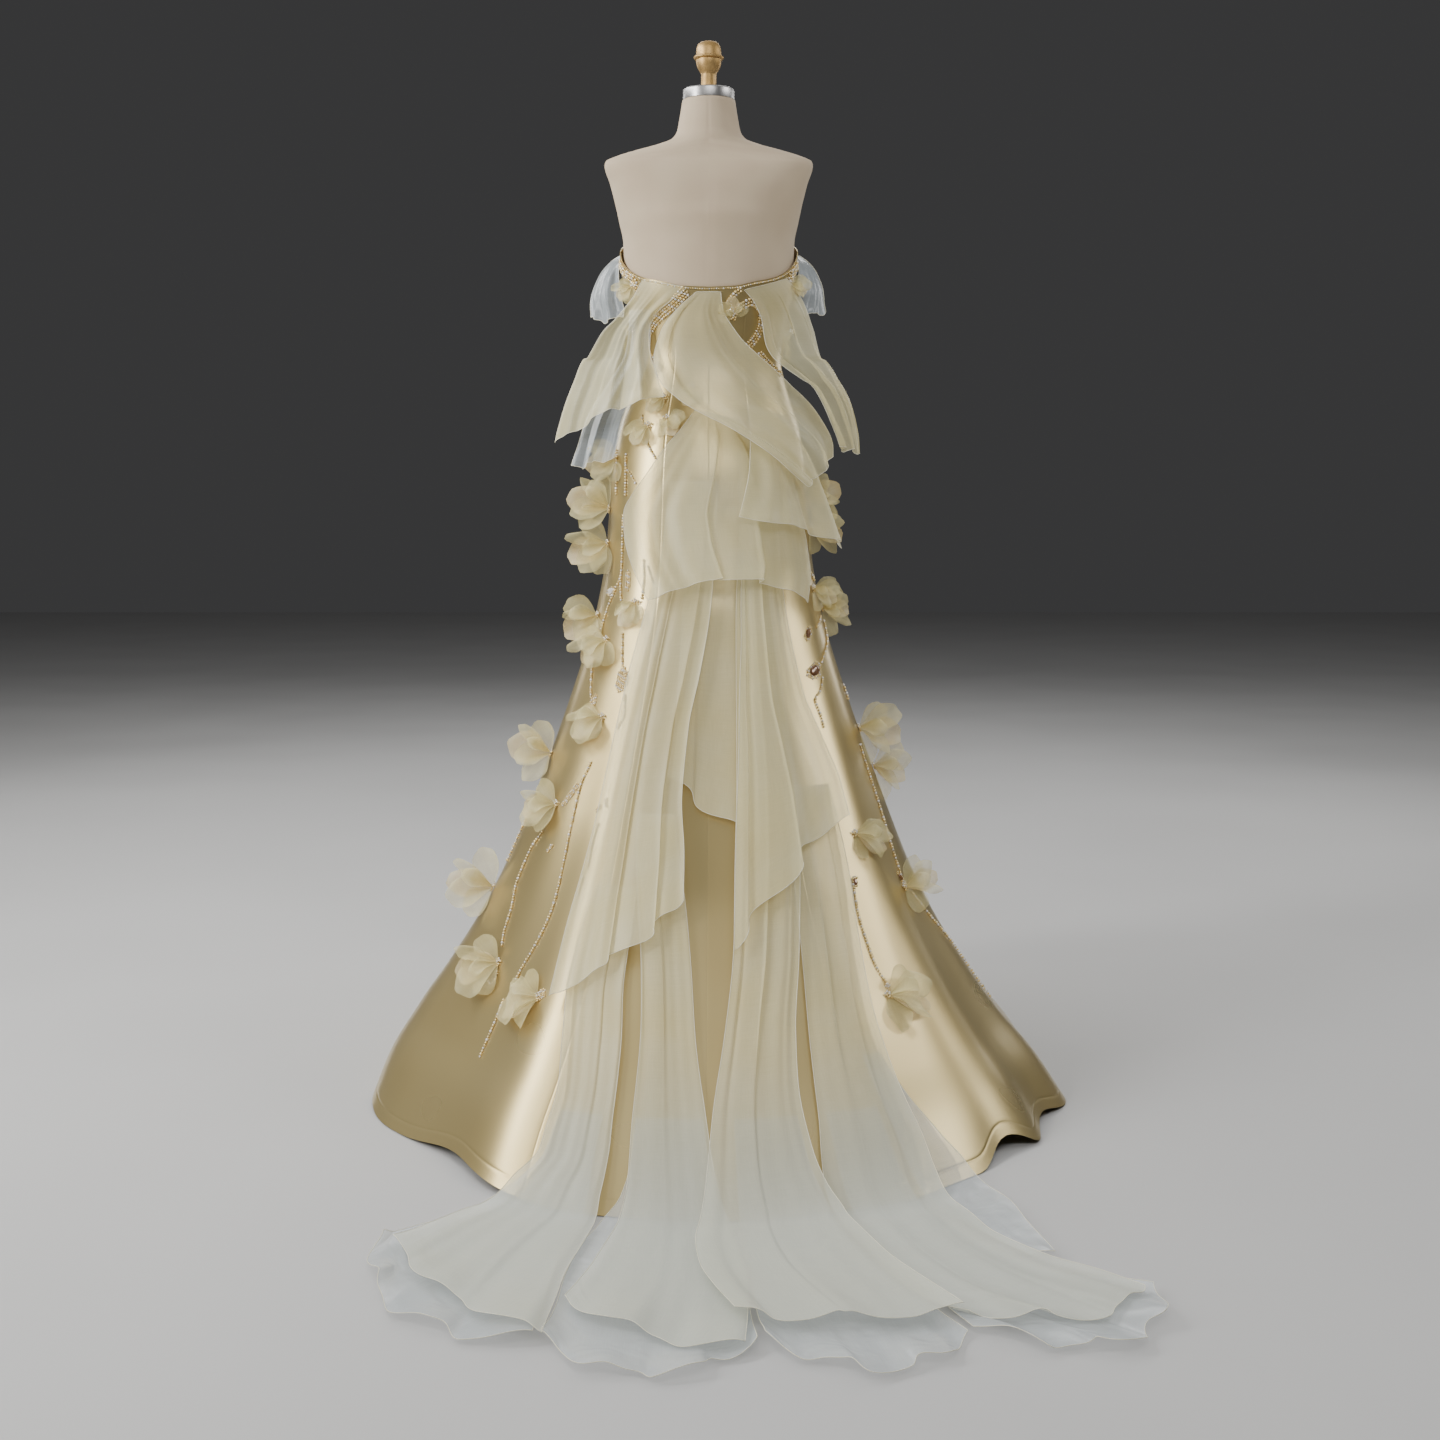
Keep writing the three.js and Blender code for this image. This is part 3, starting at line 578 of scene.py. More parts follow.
# ---------------------------------------------------------------- shader groups


# the numbers of the Mix node's colour sockets
MIX_A, MIX_B, MIX_RESULT = 6, 7, 2

Nodes = bpy.types.Nodes
Socket = bpy.types.NodeSocket
Link = Callable[[Socket, Socket], bpy.types.NodeLink]


def fill(node: bpy.types.Node, values: dict[str, object]) -> bpy.types.Node:
    """Set a node's inputs by name, and hand the node on."""
    for name, value in values.items():
        node.inputs[name].default_value = value
    return node


def math_node(
    nodes: Nodes, link: Link, operation: str, *values: Socket | float
) -> Socket:
    """Add a Math node.

    Args:
        nodes: The nodes to add it to.
        link: Their function that makes links.
        operation: What it works out.
        values: A socket or a number for each of its inputs.

    Returns:
        The socket of its result.
    """
    node = nodes.new("ShaderNodeMath")
    node.operation = operation
    for value, socket in zip(values, node.inputs):
        if isinstance(value, (int, float)):
            socket.default_value = value
        else:
            link(value, socket)
    return node.outputs[0]


class Groups:
    """The node groups that more than one material uses."""

    along_thread: float = 30.0
    across_thread: float = 900.0
    mottle_range: tuple[float, float] = (0.2, 0.8)

    def __init__(self) -> None:
        """Build each group once."""
        self.weave = self._weave()
        self.mottle = self._mottle()

    @staticmethod
    def _new(
        name: str, inputs: dict[str, tuple[str, object]], outputs: dict[str, str]
    ) -> tuple[bpy.types.NodeTree, bpy.types.Node, bpy.types.Node]:
        """A group with its sockets and its two end nodes.

        Args:
            name: The group's name.
            inputs: Socket type and default value by name.
            outputs: Socket type by name.

        Returns:
            The group, its input node and its output node.
        """
        group = bpy.data.node_groups.new(name, "ShaderNodeTree")
        for label, (kind, value) in inputs.items():
            made = group.interface.new_socket(label, in_out="INPUT", socket_type=kind)
            if value is not None:
                made.default_value = value
        for label, kind in outputs.items():
            group.interface.new_socket(label, in_out="OUTPUT", socket_type=kind)
        return (
            group,
            group.nodes.new("NodeGroupInput"),
            group.nodes.new("NodeGroupOutput"),
        )

    def _weave(self) -> bpy.types.NodeTree:
        """Plain-woven threads with thicker slubs here and there."""
        group, start, end = self._new(
            "thread_weave",
            {
                "Vector": ("NodeSocketVector", None),
                "Threads": ("NodeSocketFloat", 900.0),
                "Slub": ("NodeSocketFloat", 0.5),
                "Grid": ("NodeSocketFloat", 1.0),
            },
            {"Height": "NodeSocketFloat", "Slubs": "NodeSocketFloat"},
        )
        nodes, link = group.nodes, group.links.new
        split = nodes.new("ShaderNodeSeparateXYZ")
        link(start.outputs["Vector"], split.inputs[0])
        threads = start.outputs["Threads"]
        waves = []
        for axis in ("X", "Y"):
            scaled = math_node(nodes, link, "MULTIPLY", split.outputs[axis], threads)
            wave = math_node(nodes, link, "SINE", scaled)
            waves.append(math_node(nodes, link, "ABSOLUTE", wave))
        over = math_node(nodes, link, "MAXIMUM", *waves)
        slubs = []
        along, across = self.along_thread, self.across_thread
        for stretch in ((along, across, along), (across, along, along)):
            place = nodes.new("ShaderNodeMapping")
            place.inputs["Scale"].default_value = stretch
            link(start.outputs["Vector"], place.inputs["Vector"])
            noise = fill(nodes.new("ShaderNodeTexNoise"), {"Scale": 1.0, "Detail": 2.0})
            link(place.outputs[0], noise.inputs["Vector"])
            slubs.append(noise.outputs[0])
        both = math_node(nodes, link, "ADD", *slubs)
        mean = math_node(nodes, link, "MULTIPLY", both, 0.5)
        even = math_node(nodes, link, "MULTIPLY", over, start.outputs["Grid"])
        height = math_node(nodes, link, "MULTIPLY_ADD", mean, start.outputs["Slub"], even)
        link(height, end.inputs["Height"])
        link(mean, end.inputs["Slubs"])
        return group

    def _mottle(self) -> bpy.types.NodeTree:
        """Slow changes between two colours and two values."""
        group, start, end = self._new(
            "soft_mottle",
            {
                "Vector": ("NodeSocketVector", None),
                "Size": ("NodeSocketFloat", 8.0),
                "Colour A": ("NodeSocketColor", (1, 1, 1, 1)),
                "Colour B": ("NodeSocketColor", (1, 1, 1, 1)),
                "Low": ("NodeSocketFloat", 0.0),
                "High": ("NodeSocketFloat", 1.0),
            },
            {"Colour": "NodeSocketColor", "Value": "NodeSocketFloat"},
        )
        nodes, link = group.nodes, group.links.new
        noise = fill(nodes.new("ShaderNodeTexNoise"), {"Detail": 1.0})
        link(start.outputs["Vector"], noise.inputs["Vector"])
        link(start.outputs["Size"], noise.inputs["Scale"])
        low, high = self.mottle_range
        ramp = fill(nodes.new("ShaderNodeMapRange"), {"From Min": low, "From Max": high})
        ramp.interpolation_type = "SMOOTHSTEP"
        link(noise.outputs[0], ramp.inputs["Value"])
        mix = nodes.new("ShaderNodeMix")
        mix.data_type = "RGBA"
        link(ramp.outputs[0], mix.inputs["Factor"])
        link(start.outputs["Colour A"], mix.inputs[MIX_A])
        link(start.outputs["Colour B"], mix.inputs[MIX_B])
        spread = nodes.new("ShaderNodeMapRange")
        link(ramp.outputs[0], spread.inputs["Value"])
        link(start.outputs["Low"], spread.inputs["To Min"])
        link(start.outputs["High"], spread.inputs["To Max"])
        link(mix.outputs[MIX_RESULT], end.inputs["Colour"])
        link(spread.outputs[0], end.inputs["Value"])
        return group


Colour = tuple[float, float, float]


@dataclass(frozen=True)
class Finish:
    """A surface finish: two near colours, a gloss that varies, and a woven or grained bump.

    Args:
        name: The material's name.
        colours: The two colours it drifts between.
        roughness: The lowest and highest roughness.
        drift: How fast the colours change, in changes a metre.
        metallic: How metallic it is.
        coat: The weight of a clear coat.
        sheen: The weight of a soft sheen.
        threads: Threads to a metre, or 0 for no weave.
        relief: The height of the bump in metres.
        grid: How much of the even thread grid shows beside the slubs.
        alpha: The lowest and highest opacity, or None for a solid finish.
        edge_alpha: How much more opaque it is where it turns away.
        on_cloth: Whether the pattern lies on the flat cloth.
        specular: The shader's specular level.
        painted_floor_shade: A painted shade: the cooler, darker colour it turns to near the floor,
            standing in for a dark floor seen through the cloth; or None.
        crumple: The height of its soft crumples in metres.
        crumple_scale: How many crumples there are to a metre.
        floor_shade_heights: The heights in metres where the painted floor shade starts and where it
            is full.
        coat_roughness: The roughness of the clear coat.
        sheen_roughness: The roughness of the sheen.
        bump_strength: The share of the bump that shows.
        slub_range: The slub values of the lowest and highest opacity.
        turned_blend: How early the cloth counts as turned away.
    """

    name: str
    colours: tuple[Colour, Colour]
    roughness: tuple[float, float]
    drift: float = 12.0
    metallic: float = 0.0
    coat: float = 0.0
    sheen: float = 0.0
    threads: float = 0.0
    relief: float = 0.0001
    grid: float = 1.0
    alpha: tuple[float, float] | None = None
    edge_alpha: float = 0.0
    on_cloth: bool = False
    specular: float = 0.5
    # painted shade: a cooler, darker colour near the floor that stands in for a dark floor showing
    # through the cloth
    painted_floor_shade: Colour | None = None
    crumple: float = 0.0
    crumple_scale: float = 13.0
    floor_shade_heights: tuple[float, float] = (0.17, -0.02)
    coat_roughness: float = 0.18
    sheen_roughness: float = 0.4
    bump_strength: float = 0.6
    slub_range: tuple[float, float] = (0.3, 0.7)
    turned_blend: float = 0.35

    def build(self, groups: Groups) -> bpy.types.Material:
        """Make the material.

        Args:
            groups: The shared node groups.

        Returns:
            The new material.
        """
        material = bpy.data.materials.new(self.name)
        material.use_nodes = True
        nodes, link = material.node_tree.nodes, material.node_tree.links.new
        shader = fill(
            nodes["Principled BSDF"],
            {
                "Metallic": self.metallic,
                "Coat Weight": self.coat,
                "Coat Roughness": self.coat_roughness,
                "Sheen Weight": self.sheen,
                "Sheen Roughness": self.sheen_roughness,
                "Specular IOR Level": self.specular,
            },
        )
        place = nodes.new("ShaderNodeTexCoord")
        where = place.outputs["UV" if self.on_cloth else "Object"]
        mottle = nodes.new("ShaderNodeGroup")
        mottle.node_tree = groups.mottle
        link(where, mottle.inputs["Vector"])
        fill(
            mottle,
            {
                "Size": self.drift,
                "Colour A": (*self.colours[0], 1),
                "Colour B": (*self.colours[1], 1),
                "Low": self.roughness[0],
                "High": self.roughness[1],
            },
        )
        colour = mottle.outputs["Colour"]
        # painted shade: towards the floor the colour turns cooler and darker, as if a dark floor
        # showed through the sheer cloth
        if self.painted_floor_shade:
            colour = self._paint_floor_shade(nodes, link, place, colour)
        link(colour, shader.inputs["Base Color"])
        link(mottle.outputs["Value"], shader.inputs["Roughness"])
        if self.threads:
            weave = nodes.new("ShaderNodeGroup")
            weave.node_tree = groups.weave
            fill(weave, {"Threads": self.threads * math.pi, "Grid": self.grid})
            link(where, weave.inputs["Vector"])
            bump = nodes.new("ShaderNodeBump")
            fill(bump, {"Distance": self.relief, "Strength": self.bump_strength})
            link(weave.outputs["Height"], bump.inputs["Height"])
            link(bump.outputs[0], shader.inputs["Normal"])
            if self.crumple:
                link(self._crumpled(nodes, link, where), bump.inputs["Normal"])
            if self.alpha:
                self._veil(nodes, link, shader, weave)
        return material

    def _crumpled(self, nodes: Nodes, link: Link, where: Socket) -> Socket:
        """The normal of soft crumples.

        Args:
            nodes: The material's nodes.
            link: Its function that makes links.
            where: The socket of its coordinates.

        Returns:
            The normal's socket.
        """
        noise = nodes.new("ShaderNodeTexNoise")
        fill(noise, {"Scale": self.crumple_scale, "Detail": 2.0, "Distortion": 0.9})
        link(where, noise.inputs["Vector"])
        bump = fill(nodes.new("ShaderNodeBump"), {"Distance": self.crumple})
        link(noise.outputs[0], bump.inputs["Height"])
        return bump.outputs[0]

    def _paint_floor_shade(
        self, nodes: Nodes, link: Link, place: bpy.types.Node, colour: Socket
    ) -> Socket:
        """Paint shade on a colour: turn it to the cooler, darker floor shade towards the floor, as
        if a dark floor showed through the cloth.

        Args:
            nodes: The material's nodes.
            link: Its function that makes links.
            place: Its coordinates node.
            colour: The colour's socket.

        Returns:
            The socket of the colour with its painted shade.
        """
        split = nodes.new("ShaderNodeSeparateXYZ")
        link(place.outputs["Object"], split.inputs[0])
        share = nodes.new("ShaderNodeMapRange")
        fill(share, {"From Min": self.floor_shade_heights[0], "From Max": self.floor_shade_heights[1]})
        link(split.outputs["Z"], share.inputs["Value"])
        mix = nodes.new("ShaderNodeMix")
        mix.data_type = "RGBA"
        mix.inputs[MIX_B].default_value = (*self.painted_floor_shade, 1)
        link(share.outputs[0], mix.inputs["Factor"])
        link(colour, mix.inputs[MIX_A])
        return mix.outputs[MIX_RESULT]

    def _veil(
        self, nodes: Nodes, link: Link, shader: bpy.types.Node, weave: bpy.types.Node
    ) -> None:
        """Make the finish see-through, denser along slubs and where it turns away.

        Args:
            nodes: The material's nodes.
            link: Its function that makes links.
            shader: Its shader node.
            weave: Its weave group node.
        """
        dense = nodes.new("ShaderNodeMapRange")
        fill(dense, {"From Min": self.slub_range[0], "From Max": self.slub_range[1]})
        fill(dense, {"To Min": self.alpha[0], "To Max": self.alpha[1]})
        link(weave.outputs["Slubs"], dense.inputs["Value"])
        turned = fill(nodes.new("ShaderNodeLayerWeight"), {"Blend": self.turned_blend})
        more = nodes.new("ShaderNodeMath")
        more.operation = "MULTIPLY_ADD"
        more.inputs[1].default_value = self.edge_alpha
        more.use_clamp = True
        link(turned.outputs["Facing"], more.inputs[0])
        link(dense.outputs[0], more.inputs[2])
        link(more.outputs[0], shader.inputs["Alpha"])


# ---------------------------------------------------------------- materials


# threads to a metre, and the height of the bump in metres
ORGANZA_THREADS = 1100
ORGANZA_RELIEF = 0.00002


class Wardrobe:
    """Every finish on the gown and its form."""

    def __init__(self) -> None:
        """Build the groups and then the materials."""
        self.groups = groups = Groups()
        self.satin = Finish(
            "champagne_satin",
            ((0.60, 0.475, 0.215), (0.565, 0.435, 0.185)),
            (0.27, 0.31),
            drift=5.0,
            metallic=0.66,
            coat=0.25,
            sheen=0.05,
            threads=1400,
            relief=0.00003,
            grid=0.0,
            on_cloth=True,
        ).build(groups)
        self.organza = Finish(
            "ivory_organza",
            ((0.93, 0.86, 0.53), (0.90, 0.80, 0.43)),
            (0.36, 0.48),
            drift=9.0,
            sheen=0.15,
            threads=ORGANZA_THREADS,
            relief=ORGANZA_RELIEF,
            alpha=(0.44, 0.52),
            edge_alpha=0.38,
            # painted shade: the organza turns this cooler, darker colour near the floor, as if a
            # dark floor showed through it
            painted_floor_shade=(0.66, 0.70, 0.64),
            crumple=0.002,
            on_cloth=True,
        ).build(groups)
        self.underlay = Finish(
            "sheer_underlay",
            ((0.72, 0.77, 0.78), (0.64, 0.70, 0.72)),
            (0.17, 0.27),
            drift=9.0,
            sheen=0.1,
            coat=0.2,
            crumple=0.005,
            threads=ORGANZA_THREADS,
            relief=ORGANZA_RELIEF,
            alpha=(0.30, 0.38),
            edge_alpha=0.42,
            on_cloth=True,
        ).build(groups)
        self.edge = Finish(
            "rolled_edge",
            ((0.88, 0.85, 0.70), (0.82, 0.78, 0.60)),
            (0.45, 0.6),
            drift=60.0,
            threads=1100,
            relief=0.00004,
        ).build(groups)
        self.petal = Finish(
            "petal_organza",
            ((0.88, 0.79, 0.42), (0.82, 0.71, 0.32)),
            (0.4, 0.55),
            drift=30.0,
            sheen=0.15,
            threads=ORGANZA_THREADS,
            relief=ORGANZA_RELIEF,
            alpha=(0.32, 0.42),
            edge_alpha=0.4,
            on_cloth=True,
        ).build(groups)
        self.tinted_petal = Finish(
            "gold_tinted_petal",
            ((0.80, 0.62, 0.28), (0.88, 0.77, 0.46)),
            (0.36, 0.5),
            drift=40.0,
            sheen=0.15,
            threads=ORGANZA_THREADS,
            relief=ORGANZA_RELIEF,
            alpha=(0.50, 0.66),
            edge_alpha=0.3,
            on_cloth=True,
        ).build(groups)
        self.gold = Finish(
            "gilt_bead",
            ((1.0, 0.74, 0.30), (1.0, 0.86, 0.52)),
            (0.18, 0.28),
            drift=400.0,
            metallic=0.45,
            threads=2000,
            relief=0.00002,
        ).build(groups)
        self.crystal = Finish(
            "pale_crystal",
            ((0.96, 0.93, 0.88), (0.90, 0.84, 0.74)),
            (0.04, 0.09),
            drift=300.0,
            metallic=0.2,
            coat=1.0,
        ).build(groups)
        self.amber = Finish(
            "smoked_crystal",
            ((0.30, 0.14, 0.05), (0.16, 0.07, 0.03)),
            (0.04, 0.1),
            drift=200.0,
            metallic=0.2,
            coat=1.0,
        ).build(groups)
        self.linen = Finish(
            "cream_linen",
            ((0.68, 0.55, 0.39), (0.63, 0.50, 0.35)),
            (0.82, 0.95),
            drift=14.0,
            sheen=0.15,
            threads=700,
            relief=0.00012,
            on_cloth=True,
            specular=0.2,
        ).build(groups)
        self.steel = Finish(
            "brushed_steel",
            ((0.52, 0.51, 0.50), (0.44, 0.43, 0.42)),
            (0.34, 0.42),
            drift=40.0,
            metallic=1.0,
            threads=2500,
            relief=0.0000015,
        ).build(groups)
        self.brass = Finish(
            "antique_brass",
            ((0.60, 0.40, 0.17), (0.50, 0.32, 0.12)),
            (0.48, 0.56),
            drift=45.0,
            metallic=1.0,
            threads=2500,
            relief=0.000002,
        ).build(groups)
        self.iron = Finish(
            "black_iron",
            ((0.030, 0.030, 0.032), (0.045, 0.043, 0.042)),
            (0.45, 0.6),
            drift=30.0,
            metallic=0.7,
            threads=600,
            relief=0.00008,
        ).build(groups)


# ---------------------------------------------------------------- the satin gown


@dataclass(frozen=True)
class Gore:
    """One princess gore, from seam to seam in degrees."""

    name: str
    start: float
    end: float


@dataclass
class SatinGown:
    """The gown's seven gores, their seams and their hem."""

    map: GownMap
    wardrobe: Wardrobe
    gores: tuple[Gore, ...] = (
        Gore("gore_back_centre_left", -27, 0),
        Gore("gore_back_centre_right", 0, 27),
        Gore("gore_back_side_right", 27, 90),
        Gore("gore_front_side_right", 90, 152),
        Gore("gore_front_centre", 152, 208),
        Gore("gore_front_side_left", 208, 270),
        Gore("gore_back_side_left", 270, 333),
    )
    seam_gap: float = 0.08
    seam_width: float = 2.2
    seam_depth: float = 0.35
    column_step: float = 1.2
    rows: int = 160
    hem_rows: tuple[float, ...] = (17, 15, 14, 13, 12, 11, 9, 6, 3, 1, 0)
    stitch_height: float = 13.0
    stitch_depth: float = 0.7
    stitch_spread: float = 1.5
    hem_depth: float = 20.0
    row_bias: float = 0.92

    def build(self) -> list[Piece]:
        """Make every gore."""
        return [self._gore(gore) for gore in self.gores]

    def _columns(self, gore: Gore) -> tuple[Array, Array]:
        """Each column's share of the width and its inset from the nearer seam.

        Args:
            gore: The gore.

        Returns:
            The shares, and the insets in millimetres, or -1 away from a seam.
        """
        count = int(round((gore.end - gore.start) / self.column_step))
        shares = np.linspace(0, 1, count + 1)[1:-1]
        insets = np.array([0.0, 0.4, 1.0])
        share = np.concatenate([np.zeros(3), shares, np.ones(3)])
        beside = insets * self.seam_width
        inset = np.concatenate([beside, np.full(len(shares), -1.0), beside[::-1]])
        return share, inset

    def _gore(self, gore: Gore) -> Piece:
        """Make one gore as a wall with a turned-up hem.

        Args:
            gore: The gore.

        Returns:
            Its object.
        """
        share, inset = self._columns(gore)
        seam = lerp(gore.start, gore.end, share)
        drop = np.linspace(0, 1, self.rows)[:, None] ** self.row_bias
        top, hem = self.map.top(seam), self.map.hem(seam)
        turned_up = np.array(self.hem_rows)[:, None]
        body = lerp(top[None], hem[None] + self.hem_depth, drop)
        height = np.vstack([body, hem[None] + turned_up])
        angle = np.broadcast_to(seam, height.shape).copy()
        step = np.linalg.norm(
            self.map.point(angle + 0.5, height, False)
            - self.map.point(angle - 0.5, height, False),
            axis=2,
        )
        side = np.where(share < 0.5, 1.0, -1.0)
        away = np.where(inset >= 0, inset + self.seam_gap / 2, 0.0)
        angle = angle + side * away / step
        near = np.where(inset >= 0, 1 - inset / self.seam_width, 0.0)
        over_hem = np.abs(height - hem[None] - self.stitch_height)
        stitched = np.clip(1 - over_hem / self.stitch_spread, 0, 1)
        dip = self.seam_depth * near**2 + self.stitch_depth * stitched
        normal = self.map.normal(angle, height, False)
        level = normal.copy()
        level[..., 2] = 0
        level = unit(level)
        outer = self.map.point(angle, height, False) - level * dip[..., None]
        inner = outer - level * SATIN_WALL
        parts = MeshParts()
        rows, columns = height.shape
        flat = flat_places(outer * MM).reshape(-1, 2)
        parts.add(
            np.vstack([outer.reshape(-1, 3), inner.reshape(-1, 3)]) * MM,
            self._wall_faces(rows, columns),
            0,
            np.vstack([flat, flat]),
        )
        made = parts.build(gore.name.replace("gore", "satin"), [self.wardrobe.satin], 60)
        dress(made, gore.name)
        Cut.of_grid(outer * MM).declare(made, Held.STRETCHED, ["form_torso"])
        return made

    @staticmethod
    def _wall_faces(rows: int, columns: int) -> NDArray[np.int64]:
        """The faces of a wall from two grids, with its rim."""
        count = rows * columns
        loop = grid_border(rows, columns)
        after = np.roll(loop, -1)
        rim = np.stack([loop, after, after + count, loop + count], axis=1)
        return np.vstack(
            [
                grid_faces(rows, columns),
                grid_faces(rows, columns, True) + count,
                rim,
            ]
        )


# ---------------------------------------------------------------- draped organza

# how far a sewn edge stands off the satin, in millimetres, alone and over another
SEWN = 0.85
SEWN_LOW = 1.35


@dataclass(frozen=True)
class Drape:
    """One piece of organza, cut by its sections from its seam down to its hem.

    Each section has the angle and height of the left edge, the same of the right one,
    how far the middle hangs below, how far each edge stands off the satin, and the
    depth of the folds.

    Args:
        name: The node that it stands for.
        waves: The folds across it.
        phase: Where the folds start, in turns.
        sections: Its sections, from the seam down.
        ruffle: How far its hem curls out, in millimetres.
        scallops: How far its hem rises and falls, in millimetres.
        sheer: Whether it is cut from the thinner cloth.
        rests: The nodes that it rests on.
    """

    name: str
    waves: float
    phase: float
    sections: tuple[tuple[float, ...], ...]
    ruffle: float = 6.0
    scallops: float = 3.0
    sheer: bool = False
    rests: tuple[str, ...] = ("gore_back_centre_left",)


